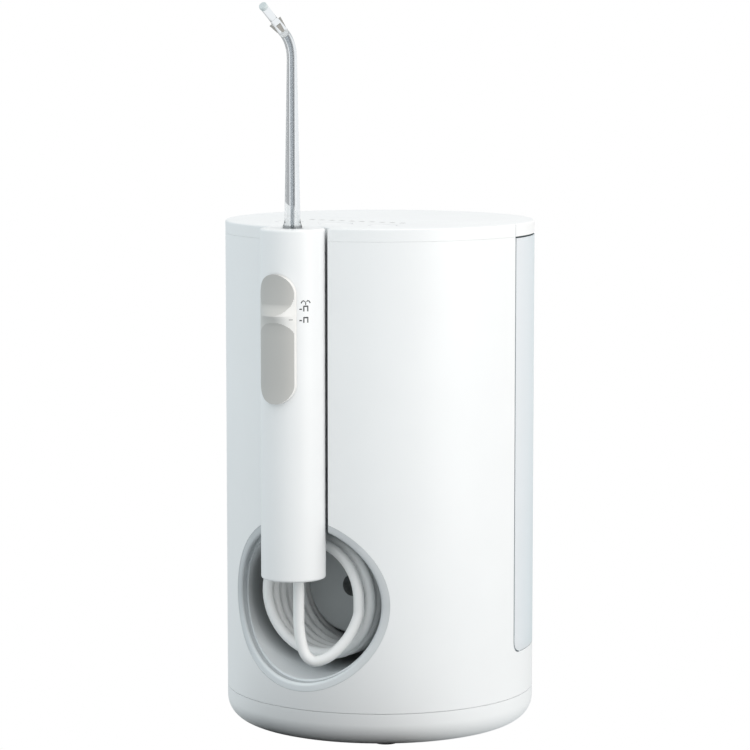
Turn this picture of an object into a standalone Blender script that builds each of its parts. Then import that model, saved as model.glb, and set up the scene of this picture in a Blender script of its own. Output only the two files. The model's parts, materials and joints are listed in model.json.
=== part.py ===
"""Countertop oral irrigator: base unit, lift-off water tank, stowed hose and handle with nozzle."""
import math

import bmesh
import bpy
from mathutils import Matrix, Vector

MM = 0.001

# Clearances and general thicknesses
SEAM = 0.3 * MM
OVERCUT = 3.0 * MM
WALL = 2.0 * MM
WALL_STEP = 0.2 * MM
WALL_THICKEST = WALL + 2 * WALL_STEP

# Base unit
BODY_RADIUS = 57.3 * MM
BODY_TOP = 188.0 * MM
FOOT_STANDOFF = 1.2 * MM
BASE_COVER_HEIGHT = 12.4 * MM
BASE_FILLET = 8.3 * MM
TOP_BAND = 4.6 * MM
TANK_SHELF = 30.0 * MM

# Feet and base screws
FOOT_RADIUS = 4.5 * MM
FOOT_EDGE_INSET = 2.0 * MM
FOOT_POCKET = 0.8 * MM
FOOT_ANGLE = math.radians(34.0)
SCREW_HEAD_RADIUS = 2.9 * MM
SCREW_HEAD_HEIGHT = 2.2 * MM
SCREW_SHANK_RADIUS = 1.4 * MM
SCREW_GRIP = 8.0 * MM
SCREW_BOSS_WALL = 2.0 * MM
SCREW_ANGLES = tuple(math.radians(turn) for turn in (-5.0, 75.0, 105.0, 185.0))

# Water tank, lid and outlet valve
TANK_WALL = 2.0 * MM
TANK_CORNER = 4.2 * MM
LID_SKIRT = 3.0 * MM
LID_SKIRT_WALL = 1.5 * MM
LID_HOLLOW = 1.0 * MM
PORT_DISTANCE = 26.0 * MM
PORT_RADIUS = 4.7 * MM
PORT_BORE = 3.2 * MM
PORT_FLANGE = 2.3 * MM
PORT_DEPTH = 7.0 * MM
STUB_RADIUS = 2.5 * MM
STUB_LENGTH = 4.0 * MM
SEAL_WIDTH = 1.9 * MM
SEAL_GROOVE = 1.0 * MM
VALVE_HOLE = 3.6 * MM
VALVE_DISC = 5.2 * MM
VALVE_STEM = 1.2 * MM
VALVE_LIFT = 2.0 * MM
VALVE_DISC_THICK = 1.6 * MM
SPRING_TURNS = 4
SPRING_HEIGHT = 6.4 * MM
SPRING_RADIUS = 3.0 * MM
SPRING_WIRE = 0.7 * MM
CAGE_WALL = 1.4 * MM

# Handle
HANDLE_RADIUS = 11.6 * MM
HANDLE_LENGTH = 125.6 * MM
HANDLE_WALL = 1.6 * MM
HANDLE_PROUD = 2.6 * MM
HANDLE_EDGE = 0.7 * MM
GROOVE_GAP = 1.9 * MM
CAP_RECESS = 1.0 * MM
CAP_THICK = 6.0 * MM
WATER_BORE = 1.2 * MM

# Slide switch on the handle
PAD_LOW = 126.4 * MM
PAD_LENGTH = 46.1 * MM
PAD_HALF_WIDTH = 7.5 * MM
PAD_PROUD = 1.9 * MM
RIDGE_RISE = 2.0 * MM
RIDGE_HEIGHT = 31.3 * MM
RIDGE_HALF = 9.0 * MM
SWITCH_TRAVEL = 4.0 * MM
STEM_WIDTH = 4.0 * MM
STEM_LENGTH = 8.0 * MM
SLIDER_WIDTH = 7.0 * MM
SLIDER_THICK = 2.0 * MM
SLIDER_LENGTH = 14.0 * MM

# Valve body in the handle and the nozzle socket
SOCKET_RADIUS = 4.0 * MM
SOCKET_DEPTH = 20.0 * MM
VALVE_BODY_RADIUS = 6.5 * MM
VALVE_BODY_LENGTH = 46.0 * MM
PLATE_WIDTH = 10.0 * MM
PLATE_THICK = 1.5 * MM
PLATE_LENGTH = 18.0 * MM
PLATE_RISE = 10.0 * MM
MAGNET_THICK = 3.0 * MM

# Nozzle
NOZZLE_SHANK = 3.5 * MM
NOZZLE_BASE_RADIUS = 2.95 * MM
NOZZLE_END_RADIUS = 1.8 * MM
NOZZLE_FLARE = 2.5 * MM
NOZZLE_INSERTED = 18.0 * MM
NOZZLE_RISE = 59.5 * MM
NOZZLE_BEND_RADIUS = 11.0 * MM
NOZZLE_BEND = math.radians(55.0)
NOZZLE_BORE = 0.9 * MM
TIP_LENGTH = 17.0 * MM
TIP_RADIUS = 1.35 * MM
BELL_LENGTH = 4.2 * MM
BELL_RADIUS = 2.75 * MM
RING_WIRE = 1.5 * MM
RING_INSET = 13.0 * MM

# Hose bay and bezel
BAY_HEIGHT = 53.0 * MM
BEZEL_OUTER = 32.7 * MM
BEZEL_WIDTH = 3.0 * MM
BEZEL_FOOT = 1.0 * MM
BAY_STEP = 0.8 * MM
BAY_WALL = 1.8 * MM
BAY_BACK = 11.2 * MM
HUB_LENGTH = 8.0 * MM
DRAIN_RADIUS = 4.0 * MM
DRAIN_OFFSET = 1.0 * MM

# Hose
HOSE_DIAMETER = 4.0 * MM
TURN_GAP = 0.5 * MM
COIL_TURNS = 7
COIL_RADIUS = 20.3 * MM
COIL_SHIFT = -1.5 * MM
COIL_SLACK = 1.1 * MM
COIL_POINTS = 24
HOSE_STUB = 1.5 * MM
HOSE_EXIT_BACK = 3.4 * MM
WALL_TO_COIL = 1.0 * MM
GLAND_WIDTH = 4.6 * MM
GLAND_HEIGHT = 7.0 * MM
GLAND_BACK = 4.6 * MM
GLAND_STUB = 3.6 * MM
INNER_TUBE_RADIUS = 2.0 * MM

# Controls on the top panel
BUTTON_TRAVEL = 0.8 * MM
BUTTON_LIP = 1.2 * MM
BUTTON_LIP_THICK = 1.0 * MM
BUTTON_STEM = 2.0 * MM
BUTTON_DROP = 2.4 * MM
POWER_RADIUS = 6.0 * MM
PRESSURE_RADIUS = 5.0 * MM
BUTTON_SETBACK = 15.4 * MM
PRESSURE_SPREAD = 20.0 * MM
LIGHT_COUNT = 10
LIGHT_PITCH = 4.33 * MM
LIGHT_WIDTH = 1.9 * MM
LIGHT_DEPTH = 2.0 * MM
LIGHT_FORWARD = 16.3 * MM
LIGHT_SPINE = 1.4 * MM
BOARD_HALF_WIDTH = 32.0 * MM
BOARD_EDGE_GAP = 1.0 * MM
BOARD_REAR = 6.0 * MM
BOARD_THICK = 1.6 * MM
BOARD_DROP = 8.0 * MM
BOARD_POST = 2.2 * MM
BOARD_POST_INSET = 3.5 * MM
BOARD_POST_PITCH = 10.5 * MM
TACT_SIZE = 6.0 * MM

# Pump and drive
DRIVE_GAP = 6.3 * MM
BRACKET_THICK = 2.0 * MM
BRACKET_POST = 3.0 * MM
BRACKET_STANDOFF = 7.0 * MM
BRACKET_DROP = 26.0 * MM
BRACKET_SCREW_DROP = 20.0 * MM
BRACKET_POST_PLACES = (-24.0 * MM, 12.0 * MM)
BRACKET_EDGE_GAP = 1.0 * MM
PLATE_MARGIN = 5.0 * MM
MOTOR_PLACE = -20.0 * MM
DRIVE_CLEARANCE = 1.0 * MM
MOTOR_RADIUS = 11.9 * MM
MOTOR_LENGTH = 31.0 * MM
MOTOR_COLLAR = 3.5 * MM
SHAFT_RADIUS = 1.0 * MM
SHAFT_INSIDE = 8.0 * MM
RUNNING_GAP = 0.25 * MM
GEAR_MODULE = 0.6 * MM
PINION_TEETH = 12
GEAR_TEETH = 44
GEAR_THICK = 5.0 * MM
GEAR_TOOTH_RISE = 0.5 * MM
GEAR_TOOTH_ROOT = 0.7 * MM
GEAR_DROP = 4.0 * MM
GEAR_HUB = 4.0 * MM
MESH_SLACK = 0.12 * MM
AXLE_RADIUS = 1.5 * MM
CRANK_THROW = 2.5 * MM
CRANK_PIN_RADIUS = 1.5 * MM
CRANK_PIN_LENGTH = 6.0 * MM
YOKE_THICK = 4.5 * MM
YOKE_RIM = 2.2 * MM
ROD_RADIUS = 2.0 * MM
ROD_LENGTH = 8.0 * MM
PISTON_RADIUS = 5.5 * MM
PISTON_LENGTH = 8.0 * MM
CYLINDER_HALF = 7.5 * MM
CYLINDER_BELOW = 10.0 * MM
HEAD_LENGTH = 9.0 * MM
SIDE_ROOM = 14.0 * MM

# Power supply board and cord inlet
SUPPLY_CORNERS = ((-38.0 * MM, 4.0 * MM), (-8.0 * MM, 34.0 * MM))
SUPPLY_LIFT = 5.5 * MM
SUPPLY_POST = 2.5 * MM
SUPPLY_INSET = 5.0 * MM
TRANSFORMER = (15.0 * MM, 13.0 * MM, 11.0 * MM)
INLET_HEIGHT = 21.8 * MM
INLET_RADIUS = 3.9 * MM
INLET_BORE = 2.2 * MM
INLET_FLANGE = 1.5 * MM
INLET_FLANGE_THICK = 1.2 * MM

# Facets
BODY_STEPS = 40
SMALL_STEPS = 14
TUBE_STEPS = 10
CORNER_STEPS = 3
SHARP_ANGLE = math.radians(32.0)
MERGE = 0.001 * MM

# Places that follow from the sizes above
BASE_BOTTOM = FOOT_STANDOFF
BASE_SEAM = BASE_BOTTOM + BASE_COVER_HEIGHT
BAND_SEAM = BODY_TOP - TOP_BAND
HANDLE_AXIS = BODY_RADIUS + HANDLE_PROUD
HANDLE_BOTTOM = BODY_TOP - HANDLE_LENGTH
GROOVE_RADIUS = HANDLE_RADIUS + GROOVE_GAP
GROOVE_START = BAY_HEIGHT + BEZEL_OUTER / 3
BEZEL_INNER = BEZEL_OUTER - BEZEL_WIDTH
BAY_INNER = BEZEL_INNER - BAY_STEP
BEZEL_REAR = math.sqrt((BODY_RADIUS - WALL) ** 2 - BEZEL_OUTER ** 2) - BEZEL_FOOT
COIL_PITCH = HOSE_DIAMETER + TURN_GAP
COIL_REAR = BAY_BACK + WALL_TO_COIL + HOSE_DIAMETER / 2
HUB_RADIUS = COIL_RADIUS - HOSE_DIAMETER / 2 - SEAM
SCREW_CIRCLE = BODY_RADIUS - BASE_FILLET - SCREW_HEAD_RADIUS
SCREW_SEAT = BASE_BOTTOM + SCREW_HEAD_HEIGHT + WALL / 2
SCREW_BOSS_TOP = SCREW_SEAT + WALL
FOOT_CIRCLE = BODY_RADIUS - BASE_FILLET - FOOT_EDGE_INSET - FOOT_RADIUS
PANEL_UNDER = BODY_TOP - WALL
BOARD_TOP = PANEL_UNDER - BOARD_DROP
TANK_BOTTOM = TANK_SHELF + SEAM
TANK_FLOOR = TANK_BOTTOM + TANK_WALL
DRIVE_HEIGHT = BAY_HEIGHT + BEZEL_OUTER + DRIVE_GAP + BRACKET_DROP
BRACKET_FRONT = WALL + BRACKET_STANDOFF + SEAM + BRACKET_THICK
GEAR_REACH = GEAR_TEETH * GEAR_MODULE / 2 + GEAR_TOOTH_RISE
DRIVE_FORWARD = BRACKET_FRONT + DRIVE_CLEARANCE + GEAR_REACH
PLATE_LOW = DRIVE_HEIGHT + PLATE_RISE
BUTTON_FORWARD = HANDLE_AXIS - GROOVE_RADIUS - BUTTON_SETBACK
GEAR_TOP = DRIVE_HEIGHT - BRACKET_THICK - GEAR_DROP / 2
GEAR_BOTTOM = GEAR_TOP - GEAR_THICK
CENTRE_DISTANCE = (PINION_TEETH + GEAR_TEETH) * GEAR_MODULE / 2 + MESH_SLACK
GEAR_PLACE = MOTOR_PLACE + CENTRE_DISTANCE
PISTON_HEIGHT = GEAR_BOTTOM - SEAM - YOKE_THICK / 2
YOKE_HALF_LENGTH = 2 * CRANK_THROW + CRANK_PIN_RADIUS + SEAM + YOKE_RIM
YOKE_HALF_WIDTH = CRANK_THROW + CRANK_PIN_RADIUS + SEAM + YOKE_RIM
PISTON_START = GEAR_PLACE + YOKE_HALF_LENGTH + ROD_LENGTH
CYLINDER_START = PISTON_START - CRANK_THROW - SEAM
CYLINDER_END = PISTON_START + PISTON_LENGTH + CRANK_THROW + 2 * SEAM
HEAD_START = CYLINDER_END + SEAM
CYLINDER_TOP = DRIVE_HEIGHT - BRACKET_THICK - SEAM
CYLINDER_BOTTOM = PISTON_HEIGHT - CYLINDER_BELOW
NOZZLE_TOP = BODY_TOP + NOZZLE_RISE
TIP_REACH = (
    HANDLE_AXIS
    + NOZZLE_BEND_RADIUS * (1 - math.cos(NOZZLE_BEND))
    + TIP_LENGTH * math.sin(NOZZLE_BEND)
    + TIP_RADIUS * math.cos(NOZZLE_BEND)
)
REAR_REACH = BODY_RADIUS + SEAM + INLET_FLANGE_THICK
FRAME_SHIFT = (TIP_REACH - REAR_REACH) / 2

FINISHES = {
    "white_plastic": ((0.86, 0.88, 0.89), 0.35, 0.0),
    "bezel_grey": ((0.60, 0.63, 0.64), 0.45, 0.0),
    "switch_grey": ((0.47, 0.47, 0.45), 0.5, 0.0),
    "tank_clear": ((0.78, 0.84, 0.88), 0.2, 0.0),
    "nozzle_clear": ((0.85, 0.88, 0.88), 0.08, 0.0),
    "hose_white": ((0.80, 0.81, 0.81), 0.45, 0.0),
    "rubber_dark": ((0.06, 0.06, 0.06), 0.8, 0.0),
    "steel": ((0.55, 0.55, 0.56), 0.3, 1.0),
    "gear_white": ((0.78, 0.77, 0.72), 0.5, 0.0),
    "pump_grey": ((0.25, 0.26, 0.27), 0.55, 0.0),
    "board_green": ((0.05, 0.22, 0.10), 0.5, 0.0),
    "light_grey": ((0.42, 0.44, 0.45), 0.3, 0.0),
}
FACING_FRONT = Matrix.Rotation(math.pi / 2, 4, "X")
FACING_RIGHT = Matrix.Rotation(math.pi / 2, 4, "Y")


def clear_scene():
    for thing in list(bpy.data.objects):
        bpy.data.objects.remove(thing, do_unlink=True)


def add_empty(name, parent, place, turn=Matrix.Identity(4)):
    """Axis that pieces hang on, drawn as an empty."""
    empty = bpy.data.objects.new(name, None)
    bpy.context.scene.collection.objects.link(empty)
    empty.parent = parent
    empty.matrix_local = Matrix.Translation(place) @ turn
    return empty


def finish_material(name, finish):
    colour, roughness, metallic = FINISHES[finish]
    material = bpy.data.materials.new(name + "_finish")
    material.use_nodes = True
    shader = material.node_tree.nodes["Principled BSDF"]
    shader.inputs["Base Color"].default_value = (*colour, 1.0)
    shader.inputs["Roughness"].default_value = roughness
    shader.inputs["Metallic"].default_value = metallic
    return material


def mesh_object(name, shape, parent, place):
    """Object from a bmesh, with its faces pointing out and round faces shaded smooth."""
    bmesh.ops.remove_doubles(shape, verts=shape.verts, dist=MERGE)
    bmesh.ops.recalc_face_normals(shape, faces=shape.faces)
    mesh = bpy.data.meshes.new(name)
    shape.to_mesh(mesh)
    shape.free()
    mesh.shade_smooth()
    mesh.set_sharp_from_angle(angle=SHARP_ANGLE)
    thing = bpy.data.objects.new(name, mesh)
    bpy.context.scene.collection.objects.link(thing)
    thing.parent = parent
    thing.location = place
    return thing


def add_piece(name, shape, finish, parent, place=(0.0, 0.0, 0.0)):
    piece = mesh_object(name, shape, parent, place)
    piece.data.materials.append(finish_material(name, finish))
    return piece


def shape_piece(piece, shape, operation, parent=None, place=(0.0, 0.0, 0.0)):
    """Cut a shape out of a piece, join it on, or keep only what lies inside it."""
    tool = mesh_object(piece.name + "_" + operation.lower(), shape, parent or piece.parent, place)
    tool.hide_render = True
    tool.display_type = "WIRE"
    step = piece.modifiers.new(operation.title(), "BOOLEAN")
    step.operation = operation
    step.solver = "EXACT"
    step.object = tool


def cut(piece, shape, parent=None, place=(0.0, 0.0, 0.0)):
    shape_piece(piece, shape, "DIFFERENCE", parent, place)


def join(piece, shape, parent=None, place=(0.0, 0.0, 0.0)):
    shape_piece(piece, shape, "UNION", parent, place)


def keep_inside(piece, shape, parent=None, place=(0.0, 0.0, 0.0)):
    shape_piece(piece, shape, "INTERSECT", parent, place)


def moved(shape, matrix):
    bmesh.ops.transform(shape, matrix=matrix, verts=shape.verts)
    return shape


def arc(centre, radius, start, end, steps):
    """Points along an arc, both ends included."""
    turns = [start + (end - start) * step / steps for step in range(steps + 1)]
    return [(centre[0] + radius * math.cos(turn), centre[1] + radius * math.sin(turn)) for turn in turns]


def circle(radius, steps=BODY_STEPS, centre=(0.0, 0.0)):
    """Ring of points that starts half a step off the X axis."""
    half = math.pi / steps
    return arc(centre, radius, half, 2 * math.pi - half, steps - 1)


def rectangle(low, high):
    return [(low[0], low[1]), (high[0], low[1]), (high[0], high[1]), (low[0], high[1])]


def prism(outline, low, high):
    """Outline in X and Y, extruded from one height to another."""
    shape = bmesh.new()
    face = shape.faces.new([shape.verts.new((x, y, low)) for x, y in outline])
    grown = bmesh.ops.extrude_face_region(shape, geom=[face])
    top = [part for part in grown["geom"] if isinstance(part, bmesh.types.BMVert)]
    bmesh.ops.translate(shape, verts=top, vec=(0.0, 0.0, high - low))
    return shape


def cylinder(radius, low, high, steps=SMALL_STEPS, centre=(0.0, 0.0)):
    return prism(circle(radius, steps, centre), low, high)


def block(low, high):
    return prism(rectangle(low, high), low[2], high[2])


def turned(profile, steps=SMALL_STEPS):
    """Solid of revolution about Z; a profile that leaves the axis open is closed on itself."""
    shape = bmesh.new()
    points = [shape.verts.new((radius, 0.0, height)) for radius, height in profile]
    edges = [shape.edges.new(pair) for pair in zip(points, points[1:])]
    if profile[0][0] > 0.0:
        edges.append(shape.edges.new((points[-1], points[0])))
    bmesh.ops.spin(
        shape, geom=points + edges, cent=(0.0, 0.0, 0.0), axis=(0.0, 0.0, 1.0),
        angle=2 * math.pi, steps=steps, use_merge=True,
    )
    return shape


def smooth_route(points, steps):
    """Smooth curve through hand-set points whose first and last spans stay straight."""
    knots = [Vector(point) for point in points]
    pulls = [(after - before) / 2 for before, after in zip(knots, knots[2:])]
    pulls[0] = (knots[1] - knots[0]).normalized() * (knots[2] - knots[1]).length
    pulls[-1] = (knots[-1] - knots[-2]).normalized() * (knots[-2] - knots[-3]).length
    route = [knots[0]]
    for start, end, pull_in, pull_out in zip(knots[1:-2], knots[2:-1], pulls, pulls[1:]):
        for step in range(steps):
            t = step / steps
            route.append(
                start * (2 * t ** 3 - 3 * t ** 2 + 1) + pull_in * (t ** 3 - 2 * t ** 2 + t)
                + end * (3 * t ** 2 - 2 * t ** 3) + pull_out * (t ** 3 - t ** 2)
            )
    return route + knots[-2:]


def add_tube(name, points, diameter, finish, parent, sides):
    """Round tube with filled ends along a route."""
    curve = bpy.data.curves.new(name, "CURVE")
    curve.dimensions = "3D"
    curve.bevel_depth = diameter / 2
    curve.bevel_resolution = sides
    curve.use_fill_caps = True
    spline = curve.splines.new("POLY")
    spline.points.add(len(points) - 1)
    for knot, point in zip(spline.points, points):
        knot.co = (*point, 1.0)
    curve.materials.append(finish_material(name, finish))
    tube = bpy.data.objects.new(name, curve)
    bpy.context.scene.collection.objects.link(tube)
    tube.parent = parent
    return tube


def front_outline(inset):
    """Plan of the front half with the handle groove, drawn inset from the outside faces."""
    radius = BODY_RADIUS - inset
    groove = GROOVE_RADIUS + inset
    meet_y = -(HANDLE_AXIS ** 2 + radius ** 2 - groove ** 2) / (2 * HANDLE_AXIS)
    meet_x = math.sqrt(radius ** 2 - meet_y ** 2)
    split = math.asin(-inset / radius)
    edge = math.atan2(meet_y, meet_x)
    bend = math.atan2(meet_y + HANDLE_AXIS, meet_x)
    right = arc((0.0, 0.0), radius, split, edge, BODY_STEPS // 4)
    back = arc((0.0, -HANDLE_AXIS), groove, bend, math.pi - bend, SMALL_STEPS)
    left = arc((0.0, 0.0), radius, -math.pi - edge, -math.pi - split, BODY_STEPS // 4)
    return right + back[1:-1] + left


def plain_front_outline(inset):
    radius = BODY_RADIUS - inset
    split = math.asin(-inset / radius)
    return arc((0.0, 0.0), radius, split, -math.pi - split, BODY_STEPS // 2)


def rear_outline(inset):
    """Plan of the rear half, which is the tank and its lid."""
    radius = BODY_RADIUS - inset
    split = math.asin((SEAM + inset) / radius)
    return arc((0.0, 0.0), radius, split, math.pi - split, BODY_STEPS // 2)


def tank_side(gap):
    """Side profile behind the split and above the shelf, with a rounded lower corner."""
    corner = TANK_CORNER - gap
    low = TANK_SHELF + gap
    reach = BODY_RADIUS + OVERCUT
    bend = arc((gap + corner, low + corner), corner, math.pi, 1.5 * math.pi, CORNER_STEPS)
    outline = bend + [(reach, low), (reach, BODY_TOP), (gap, BODY_TOP)]
    return moved(
        prism(outline, -reach, reach), Matrix.Rotation(math.pi / 2, 4, "Z") @ FACING_FRONT,
    )


def around_base(radius, turn):
    return (radius * math.cos(turn), radius * math.sin(turn))


def make_base_cover(unit):
    fillet = arc((BODY_RADIUS - BASE_FILLET, BASE_BOTTOM + BASE_FILLET), BASE_FILLET,
                 -math.pi / 2, 0.0, CORNER_STEPS)
    inside = arc((BODY_RADIUS - BASE_FILLET, BASE_BOTTOM + BASE_FILLET), BASE_FILLET - WALL,
                 0.0, -math.pi / 2, CORNER_STEPS)
    rim = BASE_SEAM - SEAM / 2
    profile = [(0.0, BASE_BOTTOM)] + fillet + [(BODY_RADIUS, rim), (BODY_RADIUS - WALL, rim)] + inside
    profile.append((0.0, BASE_BOTTOM + WALL))
    cover = add_piece("base_cover", turned(profile, BODY_STEPS), "white_plastic", unit)
    floor = BASE_BOTTOM + WALL / 2
    for turn in SCREW_ANGLES:
        place = around_base(SCREW_CIRCLE, turn)
        join(cover, cylinder(SCREW_HEAD_RADIUS + SCREW_BOSS_WALL, floor, SCREW_BOSS_TOP, centre=place))
        cut(cover, cylinder(SCREW_HEAD_RADIUS + SEAM, BASE_BOTTOM - OVERCUT, SCREW_SEAT, centre=place))
        cut(cover, cylinder(SCREW_SHANK_RADIUS + SEAM, BASE_BOTTOM, SCREW_BOSS_TOP + OVERCUT,
                            TUBE_STEPS, place))
    for place in foot_places():
        cut(cover, cylinder(FOOT_RADIUS + SEAM, BASE_BOTTOM - OVERCUT, BASE_BOTTOM + FOOT_POCKET,
                            centre=place))
    for place in supply_posts():
        join(cover, cylinder(SUPPLY_POST, floor, BASE_BOTTOM + WALL + SUPPLY_LIFT, TUBE_STEPS, place))


def foot_places():
    turns = (-math.pi / 2 + FOOT_ANGLE, -math.pi / 2 - FOOT_ANGLE,
             math.pi / 2 - FOOT_ANGLE, math.pi / 2 + FOOT_ANGLE)
    return [around_base(FOOT_CIRCLE, turn) for turn in turns]


def make_feet(unit):
    top = BASE_BOTTOM + FOOT_POCKET - SEAM
    names = ("front_right", "front_left", "rear_right", "rear_left")
    for name, place in zip(names, foot_places()):
        profile = [(0.0, 0.0), (FOOT_RADIUS - SEAM, 0.0), (FOOT_RADIUS, SEAM), (FOOT_RADIUS, top), (0.0, top)]
        add_piece("foot_" + name, turned(profile), "rubber_dark", unit, (*place, 0.0))


def screw_shape(head, shank, grip):
    """Pan-head screw with its head below and its shank up, resting at the head's top face."""
    head_radius, head_height = head
    return turned([(0.0, -head_height), (head_radius * 0.8, -head_height), (head_radius, -head_height / 2),
                   (head_radius, 0.0), (shank, 0.0), (shank, grip), (0.0, grip)], TUBE_STEPS)


def make_base_screws(unit):
    head = (SCREW_HEAD_RADIUS, SCREW_HEAD_HEIGHT - SEAM)
    grip = SCREW_BOSS_TOP - SCREW_SEAT + SCREW_GRIP
    for number, turn in enumerate(SCREW_ANGLES, 1):
        place = (*around_base(SCREW_CIRCLE, turn), SCREW_SEAT - SEAM)
        add_piece(f"base_screw_{number}", screw_shape(head, SCREW_SHANK_RADIUS, grip), "steel", unit, place)


def make_housing(unit, bay, handle):
    low = BASE_SEAM + SEAM / 2
    high = BAND_SEAM - SEAM / 2
    housing = add_piece("housing", prism(circle(BODY_RADIUS), low, high), "white_plastic", unit)
    under_shelf = TANK_SHELF - WALL
    cut(housing, prism(circle(BODY_RADIUS - WALL), low - OVERCUT, under_shelf))
    cut(housing, prism(plain_front_outline(WALL + WALL_STEP), under_shelf - OVERCUT, GROOVE_START))
    opening = cylinder(BEZEL_OUTER + SEAM / 2, BEZEL_REAR - OVERCUT, BODY_RADIUS + OVERCUT, BODY_STEPS)
    cut(housing, opening, bay)
    cut(housing, prism(front_outline(WALL_THICKEST), GROOVE_START - OVERCUT, high + OVERCUT))
    cut(housing, tank_side(0.0))
    cut(housing, cylinder(GROOVE_RADIUS, GROOVE_START - 2 * OVERCUT, high + OVERCUT, BODY_STEPS), handle)
    add_screw_bosses(housing)
    add_bracket_posts(housing)
    add_port_seat(housing)
    inlet = moved(cylinder(INLET_RADIUS + SEAM, -BODY_RADIUS - OVERCUT, -BODY_RADIUS + WALL + OVERCUT),
                  FACING_FRONT)
    cut(housing, inlet, place=(0.0, 0.0, INLET_HEIGHT))


def add_screw_bosses(housing):
    """Bosses that hang from the tank shelf and from the wall in front of the tank."""
    radius = SCREW_SHANK_RADIUS + SEAM + SCREW_BOSS_WALL
    for turn in SCREW_ANGLES:
        place = around_base(SCREW_CIRCLE, turn)
        top = TANK_SHELF - WALL / 2
        if place[1] < 0.0:
            top = TANK_SHELF + radius
        join(housing, cylinder(radius, SCREW_BOSS_TOP + SEAM, top, centre=place))
        depth = SCREW_BOSS_TOP + SCREW_GRIP + 2 * SEAM
        cut(housing, cylinder(SCREW_SHANK_RADIUS + SEAM / 2, SCREW_BOSS_TOP - OVERCUT, depth,
                              TUBE_STEPS, place))


def bracket_screw_places():
    return [(place, DRIVE_HEIGHT - BRACKET_SCREW_DROP) for place in BRACKET_POST_PLACES]


def add_bracket_posts(housing):
    for x, height in bracket_screw_places():
        post = moved(cylinder(BRACKET_POST, WALL / 2, WALL + BRACKET_STANDOFF), FACING_FRONT)
        join(housing, post, place=(x, 0.0, height))
        hole = cylinder(SCREW_SHANK_RADIUS + SEAM / 2, WALL + SEAM, BRACKET_FRONT, TUBE_STEPS)
        cut(housing, moved(hole, FACING_FRONT), place=(x, 0.0, height))


def add_port_seat(housing):
    place = (0.0, PORT_DISTANCE, 0.0)
    cut(housing, cylinder(PORT_RADIUS + SEAM, TANK_SHELF - WALL - OVERCUT, TANK_SHELF + OVERCUT), place=place)
    outer = PORT_RADIUS + SEAL_WIDTH + 3 * SEAM
    cut(housing, cylinder(outer, TANK_SHELF - SEAL_GROOVE, TANK_SHELF + OVERCUT), place=place)


def make_inlet_port(unit):
    flange_top = TANK_SHELF - WALL - SEAM
    flange_low = flange_top - WALL
    rim = TANK_SHELF - SEAL_GROOVE / 2
    floor = TANK_SHELF - PORT_DEPTH
    base = floor - WALL
    profile = [
        (0.0, TANK_SHELF - SEAM), (VALVE_STEM, TANK_SHELF - SEAM), (VALVE_STEM, floor), (PORT_BORE, floor),
        (PORT_BORE, rim), (PORT_RADIUS, rim), (PORT_RADIUS, flange_top),
        (PORT_RADIUS + PORT_FLANGE, flange_top), (PORT_RADIUS + PORT_FLANGE, flange_low),
        (PORT_RADIUS, flange_low), (PORT_RADIUS, base), (STUB_RADIUS, base),
        (STUB_RADIUS, base - STUB_LENGTH), (0.0, base - STUB_LENGTH),
    ]
    add_piece("inlet_port", turned(profile), "pump_grey", unit, (0.0, PORT_DISTANCE, 0.0))
    inner = PORT_RADIUS + 2 * SEAM
    ring = [(inner, TANK_SHELF), (inner + SEAL_WIDTH, TANK_SHELF),
            (inner + SEAL_WIDTH, TANK_SHELF - SEAL_GROOVE + SEAM), (inner, TANK_SHELF - SEAL_GROOVE + SEAM)]
    add_piece("port_seal", turned(ring), "rubber_dark", unit, (0.0, PORT_DISTANCE, 0.0))


def make_tank(unit):
    top = BAND_SEAM - SEAM / 2
    tank = add_piece("tank", prism(rear_outline(0.0), TANK_BOTTOM - SEAM, top), "tank_clear", unit)
    keep_inside(tank, tank_side(SEAM))
    cut(tank, prism(rear_outline(TANK_WALL), TANK_FLOOR, top + OVERCUT))
    cut(tank, cylinder(VALVE_HOLE, TANK_BOTTOM - OVERCUT, TANK_FLOOR + OVERCUT),
        place=(0.0, PORT_DISTANCE, 0.0))


def make_tank_lid(unit):
    low = BAND_SEAM + SEAM / 2
    skirt = TANK_WALL + SEAM
    lid = add_piece("tank_lid", prism(rear_outline(0.0), low, BODY_TOP), "white_plastic", unit)
    join(lid, prism(rear_outline(skirt), low - LID_SKIRT, low + 2 * LID_HOLLOW))
    cut(lid, prism(rear_outline(skirt + LID_SKIRT_WALL), low - LID_SKIRT - OVERCUT, low + LID_HOLLOW))


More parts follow.
